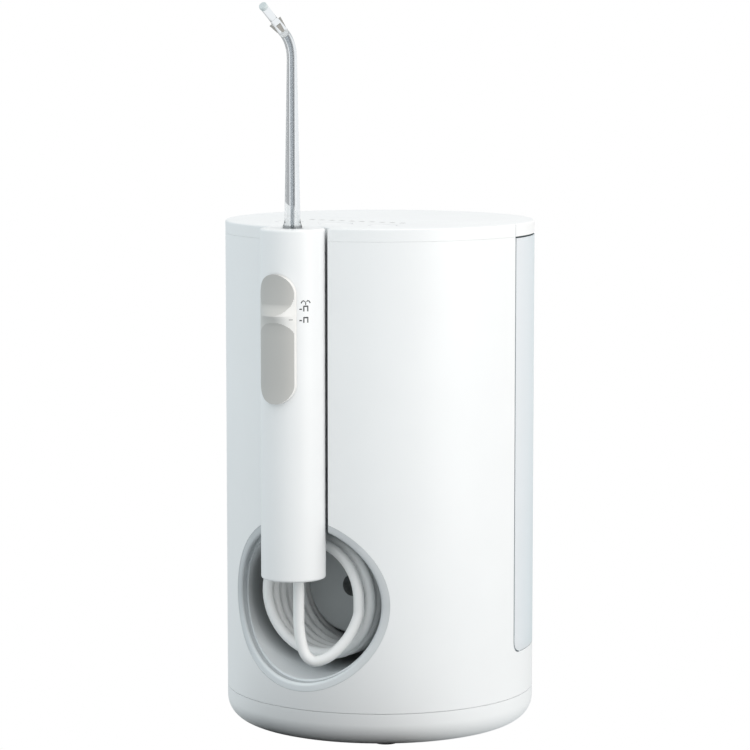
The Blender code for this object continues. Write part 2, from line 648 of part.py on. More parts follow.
def make_tank_valve(unit):
    """Sprung poppet over the tank's outlet, held open while the tank stands on the port's pin."""
    place = (0.0, PORT_DISTANCE, 0.0)
    disc = TANK_FLOOR + VALVE_LIFT
    disc_top = disc + VALVE_DISC_THICK
    spring_low = disc_top + SEAM
    cage_under = spring_low + SPRING_HEIGHT + SEAM
    cage_top = cage_under + CAGE_WALL
    poppet = [(0.0, TANK_SHELF), (VALVE_STEM, TANK_SHELF), (VALVE_STEM, disc), (VALVE_DISC, disc),
              (VALVE_DISC, disc_top), (VALVE_STEM, disc_top), (VALVE_STEM, cage_top), (0.0, cage_top)]
    add_piece("tank_valve", turned(poppet), "pump_grey", unit, place)
    inner = VALVE_DISC + 2 * SEAM
    outer = inner + CAGE_WALL
    foot = TANK_FLOOR + SEAM
    hole = VALVE_STEM + SEAM
    cage = add_piece(
        "valve_cage",
        turned([(outer, foot), (outer, cage_top), (hole, cage_top), (hole, cage_under),
                (inner, cage_under), (inner, foot)]),
        "pump_grey", unit, place)
    window = (VALVE_DISC / 2, outer + OVERCUT, cage_under - CAGE_WALL)
    low = foot + CAGE_WALL
    cut(cage, block((-window[0], -window[1], low), window), place=place)
    cut(cage, block((-window[1], -window[0], low), (window[1], window[0], window[2])), place=place)
    climb = SPRING_HEIGHT - SPRING_WIRE
    points = []
    steps = SPRING_TURNS * TUBE_STEPS
    for step in range(steps + 1):
        turn = 2 * math.pi * step / TUBE_STEPS
        rise = spring_low + SPRING_WIRE / 2 + climb * step / steps
        points.append((SPRING_RADIUS * math.cos(turn), PORT_DISTANCE + SPRING_RADIUS * math.sin(turn), rise))
    add_tube("valve_spring", points, SPRING_WIRE, "steel", unit, 0)


def light_comb(spread, low, high, top):
    """Row of upright bars on a common strip, in X and Z."""
    half = LIGHT_WIDTH / 2 + spread
    places = [(number - (LIGHT_COUNT - 1) / 2) * LIGHT_PITCH for number in range(LIGHT_COUNT)]
    outline = [(places[-1] + half, low), (places[0] - half, low)]
    for place in places:
        outline += [(place - half, high), (place - half, top), (place + half, top), (place + half, high)]
    depth = LIGHT_DEPTH / 2 + spread
    return moved(prism(outline, LIGHT_FORWARD - depth, LIGHT_FORWARD + depth), FACING_FRONT)


def button_places():
    return {
        "power_button": (POWER_RADIUS, (0.0, -BUTTON_FORWARD)),
        "pressure_up_button": (PRESSURE_RADIUS, (PRESSURE_SPREAD, -BUTTON_FORWARD)),
        "pressure_down_button": (PRESSURE_RADIUS, (-PRESSURE_SPREAD, -BUTTON_FORWARD)),
    }


def board_posts():
    side = BOARD_HALF_WIDTH - BOARD_POST_INSET
    rear = -BOARD_REAR - BOARD_POST_INSET
    front = rear - BOARD_POST_PITCH
    return [(side, front), (-side, front), (side, rear), (-side, rear)]


def make_top_panel(unit):
    low = BAND_SEAM + SEAM / 2
    panel = add_piece("top_panel", prism(front_outline(0.0), low, BODY_TOP), "white_plastic", unit)
    cut(panel, prism(front_outline(WALL), low - OVERCUT, PANEL_UNDER))
    for place in board_posts():
        join(panel, cylinder(BOARD_POST, BOARD_TOP + SEAM, PANEL_UNDER + WALL / 2, TUBE_STEPS, place))
    for radius, place in button_places().values():
        cut(panel, cylinder(radius + SEAM, PANEL_UNDER - OVERCUT, BODY_TOP + OVERCUT, centre=place))
    bars = light_comb(SEAM / 2, BODY_TOP + OVERCUT, BODY_TOP + OVERCUT / 2, PANEL_UNDER - OVERCUT)
    cut(panel, bars)


def make_controls(unit):
    spine_top = PANEL_UNDER - SEAM
    lights = light_comb(0.0, spine_top - LIGHT_SPINE, spine_top, BODY_TOP - SEAM / 2)
    add_piece("level_lights", lights, "light_grey", unit)
    lip_top = PANEL_UNDER - SEAM
    lip_low = lip_top - BUTTON_LIP_THICK
    stem_end = lip_low - BUTTON_DROP
    for name, (radius, place) in button_places().items():
        lip = radius + SEAM + BUTTON_LIP
        profile = [(0.0, BODY_TOP), (radius - SEAM, BODY_TOP), (radius, BODY_TOP - SEAM), (radius, lip_top),
                   (lip, lip_top), (lip, lip_low), (BUTTON_STEM, lip_low), (BUTTON_STEM, stem_end),
                   (0.0, stem_end)]
        add_piece(name, turned(profile), "white_plastic", unit, (*place, 0.0))
    board = add_piece("control_board", prism(front_outline(WALL_THICKEST + BOARD_EDGE_GAP),
                                             BOARD_TOP - BOARD_THICK, BOARD_TOP), "board_green", unit)
    keep_inside(board, block((-BOARD_HALF_WIDTH, -BODY_RADIUS, BOARD_TOP - BOARD_THICK - OVERCUT),
                             (BOARD_HALF_WIDTH, -BOARD_REAR, BOARD_TOP + OVERCUT)))
    tact_top = stem_end - BUTTON_TRAVEL - SEAM / 2
    half = TACT_SIZE / 2
    for _, (x, y) in button_places().values():
        join(board, block((x - half, y - half, BOARD_TOP - BOARD_THICK / 2), (x + half, y + half, tact_top)))


def make_bezel(unit, bay, handle):
    ring = turned([(BEZEL_OUTER - SEAM / 2, BEZEL_REAR), (BEZEL_OUTER - SEAM / 2, BODY_RADIUS + OVERCUT),
                   (BEZEL_INNER, BODY_RADIUS + OVERCUT), (BEZEL_INNER, BEZEL_REAR)], BODY_STEPS)
    bezel = add_piece("bay_bezel", ring, "bezel_grey", bay)
    keep_inside(bezel, prism(circle(BODY_RADIUS), 0.0, BODY_TOP), unit)
    cut(bezel, cylinder(GROOVE_RADIUS, BAY_HEIGHT, BODY_TOP, BODY_STEPS), handle)


def make_hose_bay(bay):
    front = BEZEL_REAR - SEAM
    shoulder = front - BAY_WALL
    rear = BAY_BACK - BAY_WALL
    outer = BAY_INNER + BAY_WALL
    flange = math.sqrt((BODY_RADIUS - WALL_THICKEST) ** 2 - front ** 2) - 2 * SEAM
    cup = [(0.0, rear), (outer, rear), (outer, shoulder), (flange, shoulder), (flange, front),
           (BAY_INNER, front), (BAY_INNER, BAY_BACK), (0.0, BAY_BACK)]
    hose_bay = add_piece("hose_bay", turned(cup, BODY_STEPS), "bezel_grey", bay)
    hub = cylinder(HUB_RADIUS, BAY_BACK - BAY_WALL / 2, BAY_BACK + HUB_LENGTH, BODY_STEPS // 2)
    join(hose_bay, hub, place=(COIL_SHIFT, 0.0, 0.0))
    drain = cylinder(DRAIN_RADIUS, rear - OVERCUT, BAY_BACK + HUB_LENGTH + OVERCUT)
    cut(hose_bay, drain, place=(COIL_SHIFT + DRAIN_OFFSET, 0.0, 0.0))
    x, height = gland_neck()
    cut(hose_bay, cylinder(GLAND_WIDTH / 2, rear - OVERCUT, BAY_BACK + OVERCUT, TUBE_STEPS),
        place=(x, height - BAY_HEIGHT, 0.0))


def gland_neck():
    """Where the hose gland passes the back of the bay, in X and Z."""
    return (COIL_SHIFT + COIL_RADIUS + 2 * COIL_SLACK, BAY_HEIGHT + HOSE_DIAMETER + SEAM + GLAND_HEIGHT / 2)


def make_hose_gland(unit):
    """Elbow that takes the hose's rear end and turns through the back of the bay to the pump's tube."""
    x, height = gland_neck()
    half = GLAND_WIDTH / 2
    low = height - GLAND_HEIGHT / 2
    inside = block((x - half, -COIL_REAR - HOSE_DIAMETER / 2 + SEAM, low),
                   (x + half, -BAY_BACK - SEAM, low + GLAND_HEIGHT))
    gland = add_piece("hose_gland", inside, "white_plastic", unit)
    rear = BAY_BACK - BAY_WALL
    neck = cylinder(half - SEAM, rear - SEAM - GLAND_BACK / 2, BAY_BACK + HOSE_DIAMETER / 2, TUBE_STEPS)
    join(gland, moved(neck, FACING_FRONT), place=(x, 0.0, height))
    back = block((x - half, -rear + SEAM, low), (x + half, -rear + SEAM + GLAND_BACK, low + GLAND_HEIGHT))
    join(gland, back)
    stub = cylinder(INNER_TUBE_RADIUS, low + GLAND_HEIGHT / 2, low + GLAND_HEIGHT + GLAND_STUB, TUBE_STEPS)
    join(gland, stub, place=(x, -rear + SEAM + GLAND_BACK / 2, 0.0))


def coil_points():
    """The wound hose from its front end to the gland; the turns behind the front one lie looser."""
    front = -COIL_REAR - COIL_TURNS * COIL_PITCH
    points = [(COIL_SHIFT + COIL_RADIUS, front, BAY_HEIGHT - HOSE_STUB)]
    for step in range(COIL_TURNS * COIL_POINTS + 1):
        turns = step / COIL_POINTS
        share = min(max(2 * turns - 1, 0.0), 1.0)
        slack = COIL_SLACK * (3 * share ** 2 - 2 * share ** 3)
        radius = COIL_RADIUS + slack
        angle = 2 * math.pi * turns
        points.append((COIL_SHIFT + slack + radius * math.cos(angle), front + COIL_PITCH * turns,
                       BAY_HEIGHT + radius * math.sin(angle)))
    points.append((gland_neck()[0], -COIL_REAR, BAY_HEIGHT + HOSE_DIAMETER))
    return points


def least_self_gap(points, diameter, skip):
    """Least clear distance between stretches of a tube at least a given count of points apart."""
    knots = [Vector(point) for point in points]
    gaps = [(knots[a] - knots[b]).length for a in range(len(knots)) for b in range(a + skip, len(knots))]
    return min(gaps) - diameter


def tail_points():
    """Free stretch of hose from the coil's front end, round a low bend and up into the handle."""
    front = -COIL_REAR - COIL_TURNS * COIL_PITCH
    start = BAY_HEIGHT - HOSE_STUB - SEAM
    exit_y = -HANDLE_AXIS + HOSE_EXIT_BACK
    end = HANDLE_BOTTOM + CAP_RECESS - SEAM
    return [
        (COIL_SHIFT + COIL_RADIUS, front, start),
        (COIL_SHIFT + COIL_RADIUS, front, start - HOSE_STUB),
        (18.1 * MM, -46.9 * MM, 45.2 * MM),
        (15.9 * MM, -49.1 * MM, 39.7 * MM),
        (12.3 * MM, -52.0 * MM, 34.9 * MM),
        (8.9 * MM, -54.0 * MM, 32.4 * MM),
        (5.6 * MM, -55.2 * MM, 31.6 * MM),
        (2.7 * MM, -56.0 * MM, 33.6 * MM),
        (1.1 * MM, -56.4 * MM, 37.9 * MM),
        (0.0, exit_y, 46.0 * MM),
        (0.0, exit_y, end),
    ]


def make_hose(unit):
    coil = coil_points()
    add_tube("hose_coil", coil, HOSE_DIAMETER, "hose_white", unit, 1)
    gap = least_self_gap(coil, HOSE_DIAMETER, COIL_POINTS // 2)
    print(f"hose coil least gap to itself {gap / MM:.2f} mm")
    add_tube("hose_tail", smooth_route(tail_points(), 2), HOSE_DIAMETER, "hose_white", unit, 2)


def make_handle_shell(handle):
    radius = HANDLE_RADIUS
    inner = radius - HANDLE_WALL
    edge = HANDLE_EDGE
    hole = SOCKET_RADIUS
    profile = [
        (hole, BODY_TOP), (radius - edge, BODY_TOP), (radius, BODY_TOP - edge),
        (radius, HANDLE_BOTTOM + edge), (radius - edge, HANDLE_BOTTOM), (inner, HANDLE_BOTTOM),
        (inner, BODY_TOP - HANDLE_WALL), (hole, BODY_TOP - HANDLE_WALL),
    ]
    shell = add_piece("handle_shell", turned(profile, BODY_STEPS), "white_plastic", handle)
    half = STEM_WIDTH / 2 + SEAM
    low = stem_low() - SEAM
    slot = block((-half, -radius - OVERCUT, low),
                 (half, -inner + OVERCUT, low + STEM_LENGTH + SWITCH_TRAVEL + 2 * SEAM))
    cut(shell, slot)


def stem_low():
    """Lower end of the stem that joins the switch pad to its slider, half way up the pad."""
    return PAD_LOW + PAD_LENGTH / 2 - STEM_LENGTH / 2


def make_handle_inside(handle):
    inner = HANDLE_RADIUS - HANDLE_WALL - SEAM
    low = HANDLE_BOTTOM + CAP_RECESS
    top = low + CAP_THICK
    back = HOSE_EXIT_BACK
    cap = add_piece("handle_cap", cylinder(inner, low, top, BODY_STEPS // 2), "white_plastic", handle)
    cut(cap, cylinder(WATER_BORE, low - OVERCUT, top + OVERCUT, TUBE_STEPS, (0.0, back)))
    socket_top = BODY_TOP - HANDLE_WALL - SEAM
    body_low = socket_top - VALVE_BODY_LENGTH
    floor = socket_top - SOCKET_DEPTH
    profile = [(WATER_BORE, body_low), (VALVE_BODY_RADIUS, body_low), (VALVE_BODY_RADIUS, socket_top),
               (SOCKET_RADIUS, socket_top), (SOCKET_RADIUS, floor), (WATER_BORE, floor)]
    add_piece("valve_body", turned(profile), "pump_grey", handle)
    run = [(0.0, back, top + SEAM), (0.0, back, top + (body_low - top) / 3),
           (0.0, back / 2, (top + body_low) / 2), (0.0, 0.0, top + (body_low - top) * 2 / 3),
           (0.0, 0.0, body_low - SEAM)]
    add_tube("water_tube", smooth_route(run, 3), 2 * INNER_TUBE_RADIUS, "hose_white", handle, 2)
    seat = math.sqrt(inner ** 2 - (PLATE_WIDTH / 2) ** 2)
    plate = block((-PLATE_WIDTH / 2, seat - PLATE_THICK, PLATE_LOW),
                  (PLATE_WIDTH / 2, seat, PLATE_LOW + PLATE_LENGTH))
    add_piece("handle_plate", plate, "steel", handle)


def make_cradle_magnet(handle):
    """Magnet behind the groove wall, level with the steel plate in the handle."""
    face = GROOVE_RADIUS + WALL_THICKEST + SEAM
    magnet = block((-PLATE_WIDTH / 2, face, PLATE_LOW),
                   (PLATE_WIDTH / 2, face + MAGNET_THICK, PLATE_LOW + PLATE_LENGTH))
    add_piece("cradle_magnet", magnet, "steel", handle)


def pad_surface(across, up):
    """How far the switch pad stands from the handle's axis, with two dishes parted by a thumb ridge."""
    outer = math.sqrt((HANDLE_RADIUS + PAD_PROUD) ** 2 - across ** 2)
    offset = (up - RIDGE_HEIGHT) / RIDGE_HALF
    crest = max(0.0, 1.0 - abs(offset))
    fall = 1.0 - (across / PAD_HALF_WIDTH) ** 2
    return outer + RIDGE_RISE * fall * (3 * crest ** 2 - 2 * crest ** 3)


def pad_half_width(up):
    """Half the pad's width at a height above its lower end, round at both ends."""
    near_end = min(up, PAD_LENGTH - up)
    if near_end >= PAD_HALF_WIDTH:
        return PAD_HALF_WIDTH
    return math.sqrt(max(0.0, PAD_HALF_WIDTH ** 2 - (PAD_HALF_WIDTH - near_end) ** 2))


def pad_rows():
    """Heights of the pad's cross-sections, closer together on the round ends."""
    ends = [PAD_HALF_WIDTH * (1 - math.cos(math.pi / 2 * step / 5)) for step in range(1, 6)]
    middle = PAD_LENGTH - 2 * PAD_HALF_WIDTH
    straight = [PAD_HALF_WIDTH + middle * step / 12 for step in range(1, 12)]
    return ends + straight + [PAD_LENGTH - end for end in reversed(ends)]


def pad_section(shape, up):
    """Closed ring of points round the pad at one height: outer face across, then the inner face back."""
    half = pad_half_width(up)
    columns = [half * step / 3 for step in range(-3, 4)]
    inner = HANDLE_RADIUS + SEAM
    outside = [(x, -pad_surface(x, up), PAD_LOW + up) for x in columns]
    inside = [(x, -math.sqrt(inner ** 2 - x ** 2), PAD_LOW + up) for x in reversed(columns)]
    return [shape.verts.new(point) for point in outside + inside]


def make_slide_switch(handle):
    shape = bmesh.new()
    rings = [pad_section(shape, up) for up in pad_rows()]
    for lower, upper in zip(rings, rings[1:]):
        for a in range(len(lower)):
            b = (a + 1) % len(lower)
            shape.faces.new((lower[a], lower[b], upper[b], upper[a]))
    shape.faces.new(rings[0])
    shape.faces.new(rings[-1])
    pad = add_piece("slide_switch", shape, "switch_grey", handle)
    slider_front = HANDLE_RADIUS - HANDLE_WALL - 2 * SEAM - slider_sag()
    half = STEM_WIDTH / 2
    low = stem_low()
    stem = block((-half, -HANDLE_RADIUS - PAD_PROUD / 2, low), (half, -slider_front - SEAM, low + STEM_LENGTH))
    join(pad, stem)
    middle = low + STEM_LENGTH / 2
    slider = block((-SLIDER_WIDTH / 2, -slider_front, middle - SLIDER_LENGTH / 2),
                   (SLIDER_WIDTH / 2, -slider_front + SLIDER_THICK, middle + SLIDER_LENGTH / 2))
    add_piece("shutoff_slider", slider, "pump_grey", handle)


def slider_sag():
    """Room that the round shell takes from a flat slider's front corners."""
    inner = HANDLE_RADIUS - HANDLE_WALL
    return inner - math.sqrt(inner ** 2 - (SLIDER_WIDTH / 2) ** 2)


def nozzle_route():
    """Nozzle centre line with its radius at each point: shank, flared foot, taper and bend."""
    bottom = BODY_TOP - NOZZLE_INSERTED
    ring = BODY_TOP - RING_INSET
    neck = NOZZLE_SHANK - RING_WIRE / 2
    half = RING_WIRE / 2 + SEAM / 2
    stations = [(bottom, NOZZLE_SHANK), (ring - half, NOZZLE_SHANK), (ring - half, neck), (ring + half, neck),
                (ring + half, NOZZLE_SHANK), (BODY_TOP + SEAM, NOZZLE_SHANK),
                (BODY_TOP + NOZZLE_FLARE, NOZZLE_BASE_RADIUS)]
    steps = 4
    taper = NOZZLE_BASE_RADIUS - NOZZLE_END_RADIUS
    for step in range(1, steps + 1):
        rise = NOZZLE_FLARE + (NOZZLE_RISE - NOZZLE_FLARE) * step / steps
        stations.append((BODY_TOP + rise, NOZZLE_BASE_RADIUS - taper * step / steps))
    route = [(Vector((0.0, 0.0, height)), 0.0, radius) for height, radius in stations]
    for step in range(1, CORNER_STEPS + 2):
        turn = NOZZLE_BEND * step / (CORNER_STEPS + 1)
        route.append((bend_point(turn), turn, NOZZLE_END_RADIUS))
    return route


def bend_point(turn):
    across = NOZZLE_BEND_RADIUS * (1 - math.cos(turn))
    rise = NOZZLE_BEND_RADIUS * math.sin(turn)
    return Vector((0.0, -across, NOZZLE_TOP + rise))


def make_nozzle(handle):
    add_piece("nozzle", swept_bored(), "nozzle_clear", handle)
    start = bend_point(NOZZLE_BEND)
    bell_end = BELL_LENGTH + SEAM
    lip = BELL_LENGTH / 4
    profile = [
        (NOZZLE_BORE, SEAM), (NOZZLE_END_RADIUS, SEAM), (BELL_RADIUS, bell_end - lip), (BELL_RADIUS, bell_end),
        (TIP_RADIUS + SEAM, bell_end), (TIP_RADIUS, bell_end + SEAM), (TIP_RADIUS, TIP_LENGTH),
        (NOZZLE_BORE, TIP_LENGTH),
    ]
    lean = Matrix.Translation(start) @ Matrix.Rotation(NOZZLE_BEND, 4, "X")
    add_piece("nozzle_tip", moved(turned(profile, TUBE_STEPS), lean), "nozzle_clear", handle)
    ring = BODY_TOP - RING_INSET
    neck = NOZZLE_SHANK - RING_WIRE / 2 + SEAM / 2
    reach = SOCKET_RADIUS - SEAM / 2
    centre = (neck + reach) / 2
    section = arc((centre, ring), (reach - neck) / 2, 0.0, 2 * math.pi * 7 / 8, 7)
    add_piece("nozzle_seal", turned(section), "rubber_dark", handle)


def swept_bored():
    """Nozzle pipe with its bore followed all the way back through the bend."""
    route = nozzle_route()
    inner = [(centre, turn, NOZZLE_BORE) for centre, turn, _ in reversed(route)]
    bends = [station for station in inner if station[1] > 0.0] + [inner[-1]]
    shape = bmesh.new()
    loops = []
    for centre, turn, radius in route + bends:
        side = Vector((1.0, 0.0, 0.0))
        front = Vector((0.0, -math.cos(turn), -math.sin(turn)))
        loops.append([shape.verts.new(centre + side * x + front * y) for x, y in circle(radius, TUBE_STEPS)])
    for lower, upper in zip(loops, loops[1:] + loops[:1]):
        for a in range(TUBE_STEPS):
            b = (a + 1) % TUBE_STEPS
            shape.faces.new((lower[a], lower[b], upper[b], upper[a]))
    return shape


def gear_outline(teeth, phase):
    """Straight-flanked teeth, thinned for running clearance."""
    pitch = 2 * math.pi / teeth
    radius = teeth * GEAR_MODULE / 2
    root = radius - GEAR_TOOTH_ROOT
    tip = radius + GEAR_TOOTH_RISE
    outline = []
    for tooth in range(teeth):
        centre = phase + tooth * pitch
        for reach, share in ((root, -0.34), (tip, -0.10), (tip, 0.10), (root, 0.34)):
            turn = centre + share * pitch
            outline.append((reach * math.cos(turn), reach * math.sin(turn)))
    return outline


def make_drive(unit):
    motor_low = DRIVE_HEIGHT + SEAM
    motor_place = (MOTOR_PLACE, -DRIVE_FORWARD, 0.0)
    collar_low = DRIVE_HEIGHT - BRACKET_THICK / 2
    bore = SHAFT_RADIUS + RUNNING_GAP
    inside = motor_low + SHAFT_INSIDE
    motor = [(bore, collar_low), (MOTOR_COLLAR, collar_low), (MOTOR_COLLAR, motor_low),
             (MOTOR_RADIUS, motor_low), (MOTOR_RADIUS, motor_low + MOTOR_LENGTH),
             (0.0, motor_low + MOTOR_LENGTH), (0.0, inside + SEAM), (bore, inside + SEAM)]
    add_piece("motor", turned_open(motor), "steel", unit, motor_place)
    pinion = add_piece("motor_pinion", prism(gear_outline(PINION_TEETH, math.pi / PINION_TEETH),
                                             GEAR_BOTTOM, GEAR_TOP), "gear_white", unit, motor_place)
    join(pinion, cylinder(SHAFT_RADIUS, GEAR_TOP - SEAM, inside, TUBE_STEPS), place=motor_place)
    gear_place = (GEAR_PLACE, -DRIVE_FORWARD, 0.0)
    gear = add_piece("drive_gear", prism(gear_outline(GEAR_TEETH, math.pi), GEAR_BOTTOM, GEAR_TOP),
                     "gear_white", unit, gear_place)
    hub_top = DRIVE_HEIGHT - BRACKET_THICK - SEAM
    join(gear, cylinder(GEAR_HUB, GEAR_TOP - SEAM, hub_top), place=gear_place)
    pin_low = GEAR_BOTTOM - CRANK_PIN_LENGTH
    join(gear, cylinder(CRANK_PIN_RADIUS, pin_low, GEAR_BOTTOM + SEAM, TUBE_STEPS, (0.0, CRANK_THROW)),
         place=gear_place)
    axle_low = GEAR_BOTTOM + GEAR_THICK / 3
    cut(gear, cylinder(AXLE_RADIUS + RUNNING_GAP, axle_low, hub_top + OVERCUT, TUBE_STEPS), place=gear_place)
    add_piece("gear_axle", cylinder(AXLE_RADIUS, axle_low + SEAM, DRIVE_HEIGHT, TUBE_STEPS), "steel", unit,
              gear_place)


def turned_open(profile):
    """Solid of revolution whose profile touches the axis along one stretch in its middle."""
    first = next(index for index, point in enumerate(profile) if point[0] == 0.0)
    return turned(profile[first + 1:] + profile[:first + 1])


def make_bracket(unit):
    """Angle bracket: an upright on the posts and a shelf that carries the motor, axle and pump."""
    low = DRIVE_HEIGHT - BRACKET_DROP
    rear = -(BRACKET_FRONT - BRACKET_THICK)
    left = MOTOR_PLACE - MOTOR_RADIUS
    right = HEAD_START + HEAD_LENGTH
    under = DRIVE_HEIGHT - BRACKET_THICK
    plan = prism(front_outline(WALL_THICKEST + BRACKET_EDGE_GAP), under, DRIVE_HEIGHT)
    bracket = add_piece("pump_bracket", plan, "steel", unit)
    keep_inside(bracket, block((left, -DRIVE_FORWARD - MOTOR_RADIUS, under - OVERCUT),
                               (right, rear, DRIVE_HEIGHT + OVERCUT)))
    ends = (BRACKET_POST_PLACES[0] - PLATE_MARGIN, BRACKET_POST_PLACES[1] + PLATE_MARGIN)
    join(bracket, block((ends[0], -BRACKET_FRONT, low), (ends[1], rear, DRIVE_HEIGHT - SEAM)))
    above = DRIVE_HEIGHT + OVERCUT
    below = under - OVERCUT / 2
    for radius, x in ((MOTOR_COLLAR, MOTOR_PLACE), (AXLE_RADIUS, GEAR_PLACE)):
        cut(bracket, cylinder(radius + SEAM, below, above, centre=(x, -DRIVE_FORWARD)))
    head = (SCREW_HEAD_RADIUS, SCREW_HEAD_HEIGHT)
    grip = BRACKET_THICK + 2 * SEAM + BRACKET_STANDOFF * 2 / 3
    for number, (x, height) in enumerate(bracket_screw_places(), 1):
        hole = cylinder(SCREW_SHANK_RADIUS + SEAM, BRACKET_FRONT - BRACKET_THICK - OVERCUT / 2,
                        BRACKET_FRONT + OVERCUT, TUBE_STEPS)
        cut(bracket, moved(hole, FACING_FRONT), place=(x, 0.0, height))
        screw = moved(screw_shape(head, SCREW_SHANK_RADIUS, grip), FACING_FRONT.inverted())
        add_piece(f"bracket_screw_{number}", screw, "steel", unit, (x, -BRACKET_FRONT - SEAM, height))


def make_pump(unit):
    """Scotch-yoke piston pump; the yoke's window leaves the crank pin clear at every turn and stroke."""
    half_rim = YOKE_HALF_LENGTH - YOKE_RIM, YOKE_HALF_WIDTH - YOKE_RIM
    place = (GEAR_PLACE, -DRIVE_FORWARD, PISTON_HEIGHT)
    half = YOKE_THICK / 2
    plate = block((-YOKE_HALF_LENGTH, -YOKE_HALF_WIDTH, -half), (YOKE_HALF_LENGTH, YOKE_HALF_WIDTH, half))
    yoke = add_piece("piston_rod", plate, "gear_white", unit, place)
    tall = half + OVERCUT
    window = block((-half_rim[0], -half_rim[1], -tall), (half_rim[0], half_rim[1], tall))
    cut(yoke, window, place=place)
    rod_end = YOKE_HALF_LENGTH + ROD_LENGTH - SEAM
    rod = cylinder(ROD_RADIUS, YOKE_HALF_LENGTH - YOKE_RIM / 2, rod_end, TUBE_STEPS)
    join(yoke, moved(rod, FACING_RIGHT), place=place)
    start = (PISTON_START, -DRIVE_FORWARD, PISTON_HEIGHT)
    piston = [(0.0, 0.0), (PISTON_RADIUS, 0.0), (PISTON_RADIUS, PISTON_LENGTH / 3),
              (PISTON_RADIUS - SEAM, PISTON_LENGTH / 2), (PISTON_RADIUS, PISTON_LENGTH), (0.0, PISTON_LENGTH)]
    add_piece("piston", moved(turned(piston), FACING_RIGHT), "rubber_dark", unit, start)
    rear, front = -DRIVE_FORWARD + CYLINDER_HALF, -DRIVE_FORWARD - CYLINDER_HALF
    body = block((CYLINDER_START, front, CYLINDER_BOTTOM), (CYLINDER_END, rear, CYLINDER_TOP))
    pump = add_piece("pump_cylinder", body, "pump_grey", unit)
    bore = cylinder(PISTON_RADIUS + RUNNING_GAP, CYLINDER_START - OVERCUT, CYLINDER_END + OVERCUT)
    cut(pump, moved(bore, FACING_RIGHT), place=(0.0, -DRIVE_FORWARD, PISTON_HEIGHT))
    make_pump_head(unit, front, rear)


def head_middle():
    return HEAD_START + HEAD_LENGTH / 2


def make_pump_head(unit, front, rear):
    """Valve head with the suction stub below and the delivery stub at the back."""
    body = block((HEAD_START, front, CYLINDER_BOTTOM), (HEAD_START + HEAD_LENGTH, rear, CYLINDER_TOP))
    head = add_piece("pump_head", body, "pump_grey", unit)
    suction = cylinder(STUB_RADIUS, CYLINDER_BOTTOM - STUB_LENGTH, CYLINDER_BOTTOM + WALL, TUBE_STEPS)
    join(head, suction, place=(head_middle(), -DRIVE_FORWARD, 0.0))
    delivery = cylinder(INNER_TUBE_RADIUS, -rear - STUB_LENGTH, -rear + WALL, TUBE_STEPS)
    join(head, moved(delivery, FACING_FRONT), place=(head_middle(), 0.0, PISTON_HEIGHT))


def make_inner_tubes(unit):
    """Suction from the tank's port to the pump, and delivery from the pump down to the hose gland."""
    port_low = TANK_SHELF - PORT_DEPTH - WALL - STUB_LENGTH - SEAM
    pump_low = CYLINDER_BOTTOM - STUB_LENGTH - SEAM
    side = BODY_RADIUS - WALL_THICKEST - SIDE_ROOM
    floor = BASE_BOTTOM + WALL + 2 * STUB_RADIUS
    suction = [
        (0.0, PORT_DISTANCE, port_low), (0.0, PORT_DISTANCE, port_low - STUB_RADIUS),
        (side / 6, PORT_DISTANCE - STUB_LENGTH, floor), (side * 0.45, PORT_DISTANCE / 2, floor),
        (side * 0.75, 0.0, (floor + TANK_SHELF - WALL) / 2), (side, -PORT_DISTANCE / 2, TANK_SHELF - WALL),
        (side, -PORT_DISTANCE * 0.65, BAY_HEIGHT), (side, -PORT_DISTANCE * 0.8, (BAY_HEIGHT + pump_low) / 2),
        (head_middle(), -DRIVE_FORWARD, pump_low - STUB_LENGTH), (head_middle(), -DRIVE_FORWARD, pump_low),
    ]
    add_tube("suction_tube", smooth_route(suction, 3), 2 * STUB_RADIUS, "hose_white", unit, 2)
    x, height = gland_neck()
    gland_top = height + GLAND_HEIGHT / 2 + GLAND_STUB + SEAM
    gland_y = -(BAY_BACK - BAY_WALL) + SEAM + GLAND_BACK / 2
    pump_rear = -DRIVE_FORWARD + CYLINDER_HALF + STUB_LENGTH + SEAM
    fall = PISTON_HEIGHT - gland_top
    shift = head_middle() - x
    delivery = [
        (head_middle(), pump_rear, PISTON_HEIGHT),
        (head_middle(), pump_rear + STUB_RADIUS / 2, PISTON_HEIGHT),
        (head_middle() - shift / 16, gland_y, PISTON_HEIGHT - fall / 6),
        (x + shift / 2, gland_y, gland_top + fall / 2),
        (x + shift / 8, gland_y, gland_top + fall / 4),
        (x, gland_y, gland_top + STUB_LENGTH),
        (x, gland_y, gland_top),
    ]
    add_tube("delivery_tube", smooth_route(delivery, 3), 2 * INNER_TUBE_RADIUS, "hose_white", unit, 2)


def supply_posts():
    (left, front), (right, rear) = SUPPLY_CORNERS
    return [(left + SUPPLY_INSET, front + SUPPLY_INSET), (right - SUPPLY_INSET, rear - SUPPLY_INSET)]


